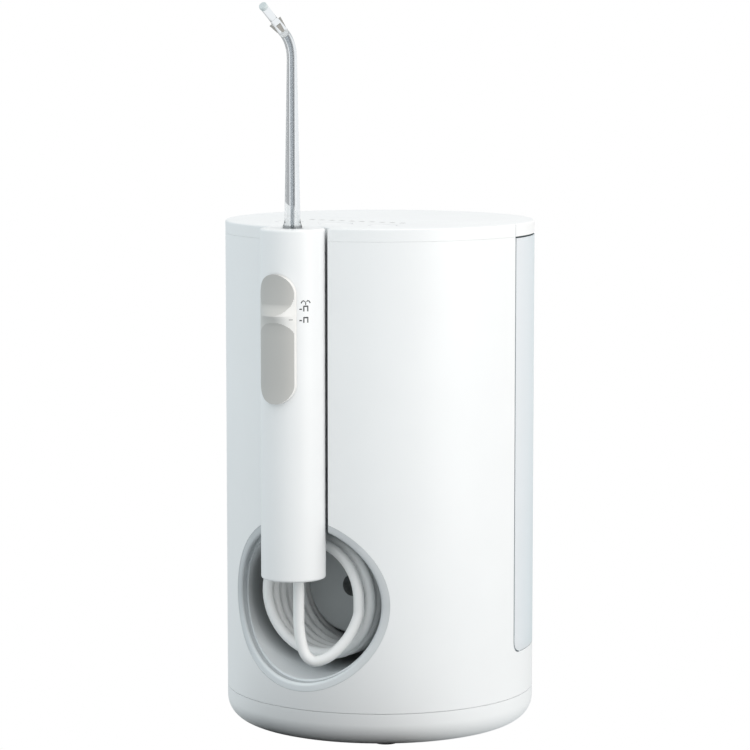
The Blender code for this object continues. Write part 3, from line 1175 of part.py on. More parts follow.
def make_power_supply(unit):
    (left, front), (right, rear) = SUPPLY_CORNERS
    low = BASE_BOTTOM + WALL + SUPPLY_LIFT + SEAM
    top = low + BOARD_THICK
    board = add_piece("power_board", block((left, front, low), (right, rear, top)), "board_green", unit)
    middle = ((left + right) / 2, (front + rear) / 2)
    width, depth, height = TRANSFORMER
    join(board, block((middle[0] - width / 2, middle[1] - depth / 2, top - BOARD_THICK / 2),
                      (middle[0] + width / 2, middle[1] + depth / 2, top + height)))
    lip = INLET_RADIUS + INLET_FLANGE
    outside = BODY_RADIUS + SEAM
    inside = BODY_RADIUS - WALL - SEAM - INLET_FLANGE_THICK / 2
    profile = [
        (INLET_BORE, outside + INLET_FLANGE_THICK), (lip, outside + INLET_FLANGE_THICK), (lip, outside),
        (INLET_RADIUS, outside), (INLET_RADIUS, inside), (lip, inside), (lip, inside - INLET_FLANGE_THICK),
        (INLET_BORE, inside - INLET_FLANGE_THICK),
    ]
    inlet = moved(turned(profile), FACING_FRONT.inverted())
    add_piece("cord_inlet", inlet, "rubber_dark", unit, (0.0, 0.0, INLET_HEIGHT))


def main():
    clear_scene()
    unit = add_empty("irrigator", None, (0.0, FRAME_SHIFT, 0.0))
    bay = add_empty("bay_axis", unit, (0.0, 0.0, BAY_HEIGHT), FACING_FRONT)
    handle = add_empty("handle_axis", unit, (0.0, -HANDLE_AXIS, 0.0))
    make_housing(unit, bay, handle)
    make_base_cover(unit)
    make_feet(unit)
    make_base_screws(unit)
    make_top_panel(unit)
    make_controls(unit)
    make_tank(unit)
    make_tank_lid(unit)
    make_tank_valve(unit)
    make_inlet_port(unit)
    make_bezel(unit, bay, handle)
    make_hose_bay(bay)
    make_hose_gland(unit)
    make_hose(unit)
    make_handle_shell(handle)
    make_handle_inside(handle)
    make_cradle_magnet(handle)
    make_slide_switch(handle)
    make_nozzle(handle)
    make_bracket(unit)
    make_drive(unit)
    make_pump(unit)
    make_inner_tubes(unit)
    make_power_supply(unit)


main()
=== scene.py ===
"""Studio scene of a countertop oral irrigator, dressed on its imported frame."""
import json
import math

import bmesh
import bpy
from mathutils import Matrix, Vector


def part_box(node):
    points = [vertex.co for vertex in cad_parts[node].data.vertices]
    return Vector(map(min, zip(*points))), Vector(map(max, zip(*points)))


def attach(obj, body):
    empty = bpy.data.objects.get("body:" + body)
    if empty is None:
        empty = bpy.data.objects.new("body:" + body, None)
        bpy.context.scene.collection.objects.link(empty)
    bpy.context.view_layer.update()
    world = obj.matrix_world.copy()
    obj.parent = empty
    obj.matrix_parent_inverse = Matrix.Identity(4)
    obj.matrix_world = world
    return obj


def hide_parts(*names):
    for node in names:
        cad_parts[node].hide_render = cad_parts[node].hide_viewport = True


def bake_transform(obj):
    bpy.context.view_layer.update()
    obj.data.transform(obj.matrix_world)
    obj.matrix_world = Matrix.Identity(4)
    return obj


MM = 0.001
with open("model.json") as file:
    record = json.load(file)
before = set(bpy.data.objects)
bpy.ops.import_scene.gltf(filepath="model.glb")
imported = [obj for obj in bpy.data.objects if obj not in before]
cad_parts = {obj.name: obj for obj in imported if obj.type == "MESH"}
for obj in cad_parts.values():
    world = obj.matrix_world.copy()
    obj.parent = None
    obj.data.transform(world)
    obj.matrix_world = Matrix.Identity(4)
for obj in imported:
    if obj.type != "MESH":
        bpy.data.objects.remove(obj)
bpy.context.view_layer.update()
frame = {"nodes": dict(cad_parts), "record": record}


def middle(node):
    low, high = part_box(node)
    return (low + high) / 2


# Places read from the frame
AXIS_Y = middle("base_cover").y
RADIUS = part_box("base_cover")[1].x
BASE_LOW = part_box("base_cover")[0].z
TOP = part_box("top_panel")[1].z
HANDLE_AXIS = AXIS_Y - middle("handle_shell").y
HANDLE_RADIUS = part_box("handle_shell")[1].x
HANDLE_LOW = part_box("handle_shell")[0].z
BAY_HEIGHT = middle("bay_bezel").z
BEZEL_REAR = AXIS_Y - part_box("bay_bezel")[1].y
FEET = ("foot_front_right", "foot_front_left", "foot_rear_right", "foot_rear_left")
SCREWS = ("base_screw_1", "base_screw_2", "base_screw_3", "base_screw_4")
BUTTON_BODIES = {
    "power_button": "power_key",
    "pressure_up_button": "pressure_up_key",
    "pressure_down_button": "pressure_down_key",
}
SHIFT = Matrix.Translation((0.0, AXIS_Y, 0.0))

# Gaps, walls and steps round a curve
SEAM = 0.3 * MM
SEAM_GAP = 0.1 * MM
SEAM_SOFT = 0.12 * MM
BAND_GAP = 0.04 * MM
OVERCUT = 3.0 * MM
WALL = 2.0 * MM
WALL_STEP = 0.2 * MM
EDGE = 0.7 * MM
EDGE_STEPS = 6
PRINT_LIFT = 0.03 * MM
WELD = 0.001 * MM
SHARP = 35.0
TUBE_SHARP = 50.0
QUARTER = math.pi / 2
ROUND = 192
SMALL = 48
FACING_FRONT = Matrix.Rotation(QUARTER, 4, "X")

# Base unit and tank
BASE_SEAM = 13.6 * MM
BASE_FILLET = 8.3 * MM
BAND_SEAM = 183.4 * MM
GROOVE_RADIUS = 12.8 * MM
GROOVE_START = 63.9 * MM
INLET_HOLE = 4.2 * MM
BOSS_RADIUS = 4.9 * MM
SCREW_WELL = 3.2 * MM
SCREW_HOLE = 1.7 * MM
SCREW_HEAD = 2.2 * MM
FOOT_SEAT = 4.8 * MM
FOOT_SEAT_DEPTH = 0.8 * MM
FOOT_SOFT = 0.4 * MM
LIGHT_COUNT = 10
LIGHT_WIDTH = 1.9 * MM
LIGHT_DEPTH = 2.0 * MM
LIGHT_SPARE = 0.1 * MM
WINDOW_SPARE = 0.05 * MM
WINDOW_LOW = 0.14 * MM
WINDOW_HIGH = 0.01 * MM
BUTTON_LIP = 1.5 * MM
BUTTON_LIP_DEPTH = 1.0 * MM
BUTTON_STEM = 2.0 * MM
BUTTON_SOFT = 0.4 * MM
BUTTON_DISH = 0.35 * MM
BUTTON_DISH_SHARE = 0.8
TANK_SHELF = 30.0 * MM
TANK_CORNER = 4.2 * MM
TANK_EDGE = 0.32 * MM
TANK_EDGE_LIFT = 0.02 * MM
PORT_PLACE = (0.0, 26.0 * MM)
PORT_SEAT = 7.5 * MM
PORT_SEAT_DEPTH = 1.0 * MM
PORT_HOLE = 5.0 * MM
OUTLET_HOLE = 3.6 * MM
LID_GAP = 0.64 * MM
SKIRT_UP = 2.0 * MM
SKIRT_WALL = 1.5 * MM
LID_HOLLOW = 1.0 * MM
SHADE_RING_INSET = 0.35 * MM

# Ring and hose bay
BEZEL_OUTER = 32.7 * MM
BEZEL_FLAT = 0.95
BEZEL_STEP = 29.7 * MM
BEZEL_INNER = 28.7 * MM
BEZEL_SOFT = 1.2 * MM
LIP_SOFT = 0.6 * MM
LEDGE_DEPTH = 3.0 * MM
LEDGE_SOFT = 0.3 * MM
BAY_INNER = 28.9 * MM
BAY_FOOT = 27.4 * MM
BAY_FOOT_SOFT = 2.0 * MM
BAY_WALL = 1.8 * MM
BAY_BACK = 11.2 * MM
HUB_RADIUS = 18.0 * MM
HUB_LENGTH = 8.0 * MM
HUB_SOFT = 1.0 * MM
HUB_STEPS = 96
HUB_FACING = -0.7
HUB_HOLE = 4.0 * MM
HUB_HOLE_SHIFT = 1.0 * MM
GLAND_HOLE = 2.3 * MM
GLAND_RISE = 3.5 * MM

# Hose, with the middle points of its free end in millimetres about the body's axis
COIL_SHIFT = -1.5 * MM
COIL_SLACK = 1.1 * MM
COIL_SAG = 0.8 * MM
COIL_RADIUS = 20.3 * MM
COIL_TURNS = 7
COIL_PITCH = 4.5 * MM
COIL_REAR = 14.2 * MM
COIL_STEPS = 48
HOSE_DIAMETER = 4.0 * MM
HOSE_SIDES = 20
HOSE_STUB = 1.5 * MM
HOSE_INSERT = 0.7 * MM
TAIL_BEHIND = 3.4 * MM
TAIL_UPRIGHT = 46.0 * MM
TAIL_STEPS = 5
TAIL_POINTS = (
    (18.1, -46.9, 45.2), (15.9, -49.1, 39.7), (12.3, -52.0, 34.9), (8.9, -54.0, 32.4),
    (5.6, -55.2, 31.6), (2.7, -56.0, 33.6), (1.1, -56.4, 37.9),
)

# Handle and switch
HANDLE_WALL = 1.6 * MM
HANDLE_EDGE = 0.9 * MM
HANDLE_STEPS = 128
MOUTH_RADIUS = 4.0 * MM
MOUTH_SOFT = 0.3 * MM
SLOT_HALF = 2.3 * MM
SLOT_LENGTH = 12.6 * MM
SLOT_DROP = 4.3 * MM
STEM_HALF = 2.0 * MM
STEM_REACH = 4.0 * MM
STEM_FRONT = 1.0 * MM
STEM_REAR = 9.1 * MM
PAD_LOW = 126.4 * MM
PAD_LENGTH = 46.1 * MM
PAD_HALF = 7.0 * MM
PAD_FALL = 0.8 * MM
PAD_RADIUS = 13.5 * MM
PAD_RIM = 0.12 * MM
PAD_TURN = math.radians(3.2)
PAD_COLUMNS = 64
PAD_ROWS = 120
PAD_END_ROWS = 24
PAD_SHARP = 30.0
RIDGE_RISE = 2.1 * MM
RIDGE_UP = 31.3 * MM
RIDGE_OVER = 3.9 * MM
RIDGE_UNDER = 3.6 * MM
RIDGE_HOLLOW = 1.6
UPPER_DISH_LOW = 31.4 * MM
LOWER_DISH_TOP = 29.0 * MM
LOWER_DISH_SHOULDER = 24.2 * MM
DISH_DEPTH = 0.5 * MM
POINTER_START = 5.5 * MM
POINTER_LENGTH = 1.0 * MM
POINTER_LOW = 29.98 * MM
POINTER_HIGH = 30.33 * MM
POINTER_STEPS = 6
SPRAY_WIDTH = 0.4 * MM
SPRAY_STEM_WIDTH = 0.35 * MM
SIGN_WIDTH = 0.45 * MM
SIGN_TOP_WIDTH = 0.5 * MM

# Nozzle and tip
NOZZLE_BEND_RADIUS = 11.0 * MM
NOZZLE_BEND = math.radians(55.0)
NOZZLE_BEND_STEPS = 14
NOZZLE_RISE = 59.5 * MM
NOZZLE_TAPER_STEPS = 12
NOZZLE_FLARE = 3.2
NOZZLE_WIDE = 2.8
NOZZLE_SLIM = 1.8
NOZZLE_CORE = 0.72 * MM
NOZZLE_SIDES = 40
CORE_GAP = 0.05 * MM
CORE_SIDES = 16
CLEAR_SHARP = 40.0
# Profiles in millimetres: height over the handle and radius, then radius and height along the jet
NOZZLE_FOOT = (
    (-18.0, 3.3), (-17.8, 3.5), (-13.9, 3.5), (-13.9, 2.75), (-12.1, 2.75), (-12.1, 3.5),
    (0.3, 3.5), (0.9, 3.4), (1.5, 3.1), (2.4, 2.86), (NOZZLE_FLARE, NOZZLE_WIDE),
)
TIP_FOOT = ((0.0, 0.1), (1.8, 0.1))
TIP_COLLAR = ((1.78, 2.8), (1.74, 4.2), (1.7, 5.6), (1.68, 7.0))
TIP_JET = ((1.42, 7.3), (1.38, 9.0), (1.42, 15.6), (1.52, 16.1), (1.52, 16.7), (1.4, 17.0), (0.0, 17.0))
TIP_FOOT_TOP = 0.2 * MM
TIP_END_LOW = 15.6 * MM
FIN_TURNS = (-117.0, -37.0, 43.0)
FIN_HALF = 0.55
FIN_WIDEN = 0.12
FIN_SINK = 0.01
FIN_PROUD = 0.1
FIN_FLARE = 0.2


# Materials
WHITE = (1.0, 1.0, 1.0)
RAMP_START = 0.3
RAMP_END = 0.7
CLOUD_SCALE = 45.0
GLOSS_SCALE = 160.0
GRAIN_SCALE = 2500.0
GRAIN_DETAIL = 2.0
GRAIN_STRENGTH = 0.12
GRAIN_DEPTH = 0.02 * MM


def add_node(tree, kind):
    return tree.nodes.new("ShaderNode" + kind)


def link(source, target):
    target.id_data.links.new(source, target)


def place_in(tree):
    return add_node(tree, "TexCoord").outputs["Object"]


def new_material(name):
    material = bpy.data.materials.new(name)
    material.use_nodes = True
    tree = material.node_tree
    return material, tree, tree.nodes["Principled BSDF"]


def noise(tree, scale, detail=3.0):
    texture = add_node(tree, "TexNoise")
    texture.inputs["Scale"].default_value = scale
    texture.inputs["Detail"].default_value = detail
    link(place_in(tree), texture.inputs["Vector"])
    return texture.outputs["Fac"]


def ramp(tree, value, low, high):
    """Two-colour ramp over the middle of the value's range."""
    node = add_node(tree, "ValToRGB")
    node.color_ramp.elements[0].position = RAMP_START
    node.color_ramp.elements[0].color = (*low, 1.0)
    node.color_ramp.elements[1].position = RAMP_END
    node.color_ramp.elements[1].color = (*high, 1.0)
    link(value, node.inputs["Fac"])
    return node.outputs["Color"]


def spread(tree, value, low, high, start=0.0, end=1.0):
    node = add_node(tree, "MapRange")
    node.inputs["From Min"].default_value = start
    node.inputs["From Max"].default_value = end
    node.inputs["To Min"].default_value = low
    node.inputs["To Max"].default_value = high
    link(value, node.inputs["Value"])
    return node.outputs["Result"]


def bump(tree, shader, value, strength, distance):
    node = add_node(tree, "Bump")
    node.inputs["Strength"].default_value = strength
    node.inputs["Distance"].default_value = distance
    link(value, node.inputs["Height"])
    link(node.outputs["Normal"], shader.inputs["Normal"])


def toward(tree, vector, along):
    """How far a vector reaches along a direction."""
    node = add_node(tree, "VectorMath")
    node.operation = "DOT_PRODUCT"
    node.inputs[1].default_value = along
    link(vector, node.inputs[0])
    return node.outputs["Value"]


def tint_along(tree, shader, along, first, last, start, end):
    """Base colour that goes from one tint to another between two distances along a direction."""
    reached = toward(tree, place_in(tree), along)
    share = spread(tree, reached, RAMP_START, RAMP_END, start, end)
    link(ramp(tree, share, first, last), shader.inputs["Base Color"])


def cloud(tree, shader, scale, low, high):
    link(ramp(tree, noise(tree, scale), low, high), shader.inputs["Base Color"])


def gloss(tree, shader, scale, roughness, vary):
    rough = spread(tree, noise(tree, scale), roughness - vary, roughness + vary)
    link(rough, shader.inputs["Roughness"])


def scaled(colour, share):
    return tuple(min(1.0, part * share) for part in colour)


def moulded(name, colour, roughness, vary=0.03, grain=GRAIN_SCALE, depth=GRAIN_DEPTH, shine=0.5):
    """Moulded plastic: slight cloudiness in colour and gloss, and a fine tool grain."""
    material, tree, shader = new_material(name)
    cloud(tree, shader, CLOUD_SCALE, scaled(colour, 1 - vary), scaled(colour, 1 + vary))
    gloss(tree, shader, GLOSS_SCALE, roughness, 0.04)
    shader.inputs["Specular IOR Level"].default_value = shine
    bump(tree, shader, noise(tree, grain, GRAIN_DETAIL), GRAIN_STRENGTH, depth)
    return material


def graded(name, along, first, last, start, reach):
    """Moulded plastic with painted light and shade: its tint goes from one colour to another along a
    direction.
    """
    material, tree, shader = new_material(name)
    tint_along(tree, shader, along, first, last, start, start + reach)
    gloss(tree, shader, GLOSS_SCALE, 0.46, 0.04)
    bump(tree, shader, noise(tree, GRAIN_SCALE, GRAIN_DETAIL), GRAIN_STRENGTH, GRAIN_DEPTH)
    return material


def frosted(name, front, rear, roughness, through):
    """Translucent tank plastic, deeper in tint towards the rear."""
    material, tree, shader = new_material(name)
    tint_along(tree, shader, (0.0, 1.0, 0.0), front, rear, AXIS_Y + 2.0 * MM, AXIS_Y + 24.0 * MM)
    gloss(tree, shader, 400.0, roughness, 0.05)
    shader.inputs["Transmission Weight"].default_value = through
    shader.inputs["IOR"].default_value = 1.3
    bump(tree, shader, noise(tree, 3000.0, GRAIN_DETAIL), 0.1, GRAIN_DEPTH)
    return material


def clear(name, colour, index=1.36):
    """Clear polished plastic with faint flow marks."""
    material, tree, shader = new_material(name)
    cloud(tree, shader, 60.0, scaled(colour, 0.96), colour)
    shader.inputs["Roughness"].default_value = 0.02
    shader.inputs["Transmission Weight"].default_value = 1.0
    shader.inputs["IOR"].default_value = index
    return material


def brushed(name, colour, roughness):
    material, tree, shader = new_material(name)
    cloud(tree, shader, 900.0, scaled(colour, 0.9), colour)
    gloss(tree, shader, 1500.0, roughness, 0.08)
    shader.inputs["Metallic"].default_value = 1.0
    bump(tree, shader, noise(tree, GRAIN_SCALE), 0.15, 0.03 * MM)
    return material


MATERIALS = {
    "white_plastic": moulded("white_moulding", (0.86, 0.875, 0.88), 0.34, 0.008),
    # Ring grey, painted lighter towards the bottom, where its inner shoulder faces up into the light, and
    # darker from the bay's middle up: painted light and shade.
    "bezel_grey": graded("bezel_painted_light", (0.0, 0.0, 1.0), (0.81, 0.85, 0.868), (0.53, 0.558, 0.573),
                         BAY_HEIGHT - 31.0 * MM, 31.0 * MM),
    "switch_grey": moulded("switch_touch", (0.515, 0.51, 0.49), 0.55, 0.015, 3500.0),
    "tank_clear": frosted("tank_frost", (0.915, 0.95, 0.98), (0.80, 0.89, 0.93), 0.38, 0.25),
    "nozzle_clear": clear("nozzle_polish", (0.86, 0.88, 0.89)),
    # White hose, painted darker towards the rear and right of the bay as the shade on its deeper turns.
    "hose_white": graded("hose_painted_shade", (0.6, 1.0, 0.0), (0.92, 0.93, 0.925), (0.34, 0.35, 0.355),
                         AXIS_Y - 31.5 * MM, 11.0 * MM),
    "rubber_dark": moulded("rubber_black", (0.035, 0.035, 0.037), 0.75, 0.1, 1800.0, 0.05 * MM),
    "steel": brushed("steel_plain", (0.55, 0.55, 0.56), 0.32),
    "gear_white": moulded("gear_acetal", (0.76, 0.75, 0.70), 0.45, 0.02),
    "pump_grey": moulded("pump_filled", (0.22, 0.23, 0.24), 0.5, 0.06),
    "board_green": moulded("board_coat", (0.04, 0.19, 0.09), 0.4, 0.12),
    "light_grey": moulded("light_guide", (0.06, 0.065, 0.07), 0.7, shine=0.05),
}
# Bay wall, light grey painted darker deeper in and towards the left as the shade round the coil.
WELL_PAINTED_SHADE = graded("well_painted_shade", (-0.79, 1.0, 0.0), (0.80, 0.83, 0.845), (0.32, 0.335, 0.34),
                   AXIS_Y - 31.0 * MM, 12.0 * MM)
# Darker grey on the ring's step wall: painted shade.
STEP_PAINTED_SHADE = moulded("step_painted_shade", (0.50, 0.53, 0.545), 0.45, 0.012)
# Darker grey on the hub's face: painted shade at the back of the bay.
HUB_PAINTED_SHADE = moulded("hub_painted_shade", (0.46, 0.48, 0.485), 0.45, 0.012)
# Switch rim: off-white plastic painted grey over its left and middle as shade, fading to off-white on the
# right, where the key light falls.
RIM_PAINTED_LIGHT = graded("switch_rim_painted_light", (1.0, 0.0, 0.0), (0.60, 0.595, 0.575), (0.84, 0.835, 0.815),
                   1.5 * MM, 4.0 * MM)
# Upper dish: grey painted lighter at its bottom, where it slopes up to the ridge towards the light:
# painted light.
DISH_PAINTED_LIGHT = graded("switch_dish_painted_light", (0.0, 0.0, 1.0), (0.60, 0.595, 0.57), (0.515, 0.51, 0.49),
                   PAD_LOW + RIDGE_UP + 2.4 * MM, 1.8 * MM)
# Fins painted grey: painted shade for how dark the clear fins look.
FIN_PAINTED_SHADE = moulded("tip_fin_painted_shade", (0.37, 0.355, 0.33), 0.4)
TIP_CLEAR = clear("tip_polish", (0.90, 0.915, 0.92), 1.06)
TIP_END = moulded("tip_end", (0.60, 0.66, 0.665), 0.3)
# Grey-tinted core in the nozzle's bore: painted shade for how the hollow bore looks through the clear
# tube.
BORE_PAINTED_SHADE = clear("nozzle_bore_painted_shade", (0.54, 0.56, 0.58), 1.0)
# Dark line at the tank's front edge: painted shade in the gap there.
TANK_EDGE_SHADE = moulded("tank_edge_shade", (0.08, 0.11, 0.125), 0.3)
# Dark ring in the gap above the tank: painted shade in that gap.
LID_GAP_SHADE = moulded("lid_gap_shade", (0.045, 0.06, 0.062), 0.7, shine=0.05)
POINTER_GREY = moulded("pointer_grey", (0.40, 0.40, 0.39), 0.5)
PRINT_GREY = moulded("print_grey", (0.05, 0.052, 0.055), 0.5)


# Shapes

def arc(centre, radius, start, end, steps):
    turns = [start + (end - start) * step / steps for step in range(steps + 1)]
    return [(centre[0] + radius * math.cos(turn), centre[1] + radius * math.sin(turn)) for turn in turns]


def circle(radius, steps=ROUND, centre=(0.0, 0.0)):
    half = math.pi / steps
    return arc(centre, radius, half, 2 * math.pi - half, steps - 1)


def bridge(shape, loops):
    """Faces between neighbouring closed loops of equal count, as one list for each pair of loops."""
    bands = []
    for lower, upper in zip(loops, loops[1:]):
        band = []
        for a in range(len(lower)):
            b = (a + 1) % len(lower)
            band.append(shape.faces.new((lower[a], lower[b], upper[b], upper[a])))
        bands.append(band)
    return bands


def ribbon(shape, rows):
    """Faces along rows of two points each."""
    for (a, b), (c, d) in zip(rows, rows[1:]):
        shape.faces.new((a, b, d, c))


def stack(loops):
    """Closed solid through loops of equal count, one above the other."""
    shape = bmesh.new()
    rings = [[shape.verts.new(point) for point in loop] for loop in loops]
    bridge(shape, rings)
    shape.faces.new(list(reversed(rings[0])))
    shape.faces.new(rings[-1])
    return shape


def level(outline, height):
    return [(x, y, height) for x, y in outline]


def prism(outline, low, high):
    return stack([level(outline, low), level(outline, high)])


def cylinder(radius, low, high, centre=(0.0, 0.0), steps=SMALL):
    return prism(circle(radius, steps, centre), low, high)


def oblong(low, high):
    return [(low[0], low[1]), (high[0], low[1]), (high[0], high[1]), (low[0], high[1])]


def block(low, high):
    return prism(oblong(low, high), low[2], high[2])


def turned(profile, steps=SMALL):
    shape = bmesh.new()
    points = [shape.verts.new((radius, 0.0, height)) for radius, height in profile]
    edges = [shape.edges.new(pair) for pair in zip(points, points[1:])]
    if profile[0][0] > 0.0:
        edges.append(shape.edges.new((points[-1], points[0])))
    bmesh.ops.spin(
        shape, geom=points + edges, cent=(0.0, 0.0, 0.0), axis=(0.0, 0.0, 1.0),
        angle=2 * math.pi, steps=steps, use_merge=True,
    )
    return shape


def moved(shape, matrix):
    bmesh.ops.transform(shape, matrix=matrix, verts=shape.verts)
    return shape


def add_object(name, data):
    thing = bpy.data.objects.new(name, data)
    bpy.context.scene.collection.objects.link(thing)
    return thing


def to_object(name, shape, sharp=SHARP):
    """Mesh in the row frame, from a shape drawn about the body's own axis."""
    bmesh.ops.remove_doubles(shape, verts=shape.verts, dist=WELD)
    bmesh.ops.recalc_face_normals(shape, faces=shape.faces)
    moved(shape, SHIFT)
    mesh = bpy.data.meshes.new(name)
    shape.to_mesh(mesh)
    shape.free()
    mesh.shade_smooth()
    mesh.set_sharp_from_angle(angle=math.radians(sharp))
    return add_object(name, mesh)


def carve(thing, shape, operation="DIFFERENCE"):
    """Boolean with a shape that is used up."""
    tool = to_object(thing.name + "_tool", shape)
    step = thing.modifiers.new("carve", "BOOLEAN")
    step.operation = operation
    step.solver = "EXACT"
    step.object = tool
    bpy.context.view_layer.update()
    depsgraph = bpy.context.evaluated_depsgraph_get()
    mesh = bpy.data.meshes.new_from_object(thing.evaluated_get(depsgraph))
    thing.modifiers.clear()
    old = thing.data
    thing.data = mesh
    bpy.data.meshes.remove(old)
    bpy.data.objects.remove(tool, do_unlink=True)
    mesh.shade_smooth()
    mesh.set_sharp_from_angle(angle=math.radians(SHARP))


def true_round(thing, rounds):
    """Exact normals on faces that lie on upright cylinders, given as centre, radius pairs."""
    near = 0.03 * MM
    facing = 0.95
    mesh = thing.data
    normals = [Vector(corner.vector) for corner in mesh.corner_normals]
    for face in mesh.polygons:
        for (x, y), radius in rounds:
            offsets = [mesh.vertices[index].co - Vector((x, y, 0.0)) for index in face.vertices]
            outs = [Vector((offset.x, offset.y, 0.0)).normalized() for offset in offsets]
            on_round = all(abs(offset.xy.length - radius) < near for offset in offsets)
            if on_round and all(abs(out.dot(face.normal)) > facing for out in outs):
                for corner, out in zip(face.loop_indices, outs):
                    normals[corner] = out if out.dot(face.normal) > 0 else -out
    mesh.normals_split_custom_set(normals)


def coat(thing, *materials):
    for material in materials:
        thing.data.materials.append(material)


def dress(thing, slot, body, *nodes):
    """Slot, body and the nodes that a piece stands for; a piece without a coat gets the slot's own."""
    if len(thing.data.materials) == 0:
        coat(thing, MATERIALS[slot])
    if nodes:
        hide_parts(*nodes)
    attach(thing, body)


def trim(thing, material, body):
    """Small piece of the scene alone, in one material."""
    coat(thing, material)
    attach(thing, body)


def front_outline(inset):
    """Plan of the front half with the handle groove, inset from its outside faces."""
    radius = RADIUS - inset
    groove = GROOVE_RADIUS + inset
    meet_y = -(HANDLE_AXIS ** 2 + radius ** 2 - groove ** 2) / (2 * HANDLE_AXIS)
    meet_x = math.sqrt(radius ** 2 - meet_y ** 2)
    split = math.asin(-inset / radius)
    edge = math.atan2(meet_y, meet_x)
    bend = math.atan2(meet_y + HANDLE_AXIS, meet_x)
    right = arc((0.0, 0.0), radius, split, edge, ROUND // 4)
    back = arc((0.0, -HANDLE_AXIS), groove, bend, math.pi - bend, SMALL)
    left = arc((0.0, 0.0), radius, -math.pi - edge, -math.pi - split, ROUND // 4)
    return right + back[1:-1] + left


def plain_front_outline(inset):
    radius = RADIUS - inset
    split = math.asin(-inset / radius)
    return arc((0.0, 0.0), radius, split, -math.pi - split, ROUND // 2)


def rear_outline(inset):
    radius = RADIUS - inset
    split = math.asin((SEAM + inset) / radius)
    return arc((0.0, 0.0), radius, split, math.pi - split, ROUND // 2)


def tank_side(gap):
    """Side profile behind the split and above the shelf, with a rounded lower corner."""
    corner = TANK_CORNER - gap
    low = TANK_SHELF + gap
    reach = RADIUS + OVERCUT
    bend = arc((gap + corner, low + corner), corner, math.pi, 1.5 * math.pi, 8)
    outline = bend + [(reach, low), (reach, TOP), (gap, TOP)]
    return moved(prism(outline, -reach, reach), Matrix.Rotation(QUARTER, 4, "Z") @ FACING_FRONT)


def body_place(node):
    """A node's middle about the body's own axis, in plan."""
    centre = middle(node)
    return (centre.x, centre.y - AXIS_Y)


def at_node(shape, node):
    return moved(shape, Matrix.Translation((*body_place(node), 0.0)))


def bay_round(radius):
    """Circle whose upper half is a little flat, as the ring round the bay is."""
    return [(x, up * BEZEL_FLAT if up > 0.0 else up) for x, up in circle(radius)]


def at_bay(shape, x=0.0, up=0.0):
    """Shape drawn about Z, laid along the bay's axis with its Z to the front."""
    return moved(shape, Matrix.Translation((x, 0.0, BAY_HEIGHT + up)) @ FACING_FRONT)


def at_handle(shape, turn=0.0):
    return moved(shape, Matrix.Translation((0.0, -HANDLE_AXIS, 0.0)) @ Matrix.Rotation(turn, 4, "Z"))


# Base unit

BODY_ROUND = ((0.0, AXIS_Y), RADIUS)
GROOVE_ROUND = ((0.0, AXIS_Y - HANDLE_AXIS), GROOVE_RADIUS)


def make_housing():
    low = BASE_SEAM + SEAM_GAP / 2
    high = BAND_SEAM - BAND_GAP / 2
    under = TANK_SHELF - WALL
    thick = WALL + 2 * WALL_STEP
    levels = [(SEAM_SOFT, low), (0.0, low + SEAM_SOFT), (0.0, high)]
    housing = to_object("housing_shell", stack([level(circle(RADIUS - inset), z) for inset, z in levels]))
    carve(housing, prism(circle(RADIUS - WALL), low - OVERCUT, under))
    carve(housing, prism(plain_front_outline(WALL + WALL_STEP), under - OVERCUT, GROOVE_START))
    opening = prism(bay_round(BEZEL_OUTER + SEAM_GAP / 4), BEZEL_REAR - OVERCUT, RADIUS + OVERCUT)
    carve(housing, at_bay(opening))
    carve(housing, prism(front_outline(thick), GROOVE_START - OVERCUT, high + OVERCUT))
    carve(housing, tank_side(0.0))
    groove = cylinder(GROOVE_RADIUS, GROOVE_START - 2 * OVERCUT, high + OVERCUT, steps=ROUND)
    carve(housing, at_handle(groove))
    hole = moved(cylinder(INLET_HOLE, -RADIUS - OVERCUT, -RADIUS + 2 * OVERCUT), FACING_FRONT)
    carve(housing, moved(hole, Matrix.Translation((0.0, 0.0, middle("cord_inlet").z))))
    carve(housing, cylinder(PORT_SEAT, TANK_SHELF - PORT_SEAT_DEPTH, TANK_SHELF + OVERCUT, PORT_PLACE))
    carve(housing, cylinder(PORT_HOLE, under - OVERCUT, TANK_SHELF + OVERCUT, PORT_PLACE))
    true_round(housing, [BODY_ROUND, GROOVE_ROUND])
    dress(housing, "white_plastic", "base", "housing")


def make_base_cover():
    centre = (RADIUS - BASE_FILLET, BASE_LOW + BASE_FILLET)
    outside = arc(centre, BASE_FILLET, -QUARTER, 0.0, 14)
    inside = arc(centre, BASE_FILLET - WALL, 0.0, -QUARTER, 8)
    rim = BASE_SEAM - SEAM_GAP / 2
    profile = [(0.0, BASE_LOW)] + outside + [(RADIUS, rim), (RADIUS - WALL, rim)] + inside
    cover = to_object("base_bowl", turned(profile + [(0.0, BASE_LOW + WALL)], ROUND))
    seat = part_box(SCREWS[0])[0].z + SCREW_HEAD
    for node in SCREWS:
        place = body_place(node)
        carve(cover, cylinder(BOSS_RADIUS, BASE_LOW + WALL / 2, seat + WALL, place), "UNION")
        carve(cover, cylinder(SCREW_WELL, BASE_LOW - OVERCUT, seat, place))
        carve(cover, cylinder(SCREW_HOLE, BASE_LOW, seat + OVERCUT, place))
    foot_top = BASE_LOW + FOOT_SEAT_DEPTH
    for node in FEET:
        carve(cover, cylinder(FOOT_SEAT, BASE_LOW - OVERCUT, foot_top, body_place(node)))
    dress(cover, "white_plastic", "base", "base_cover")


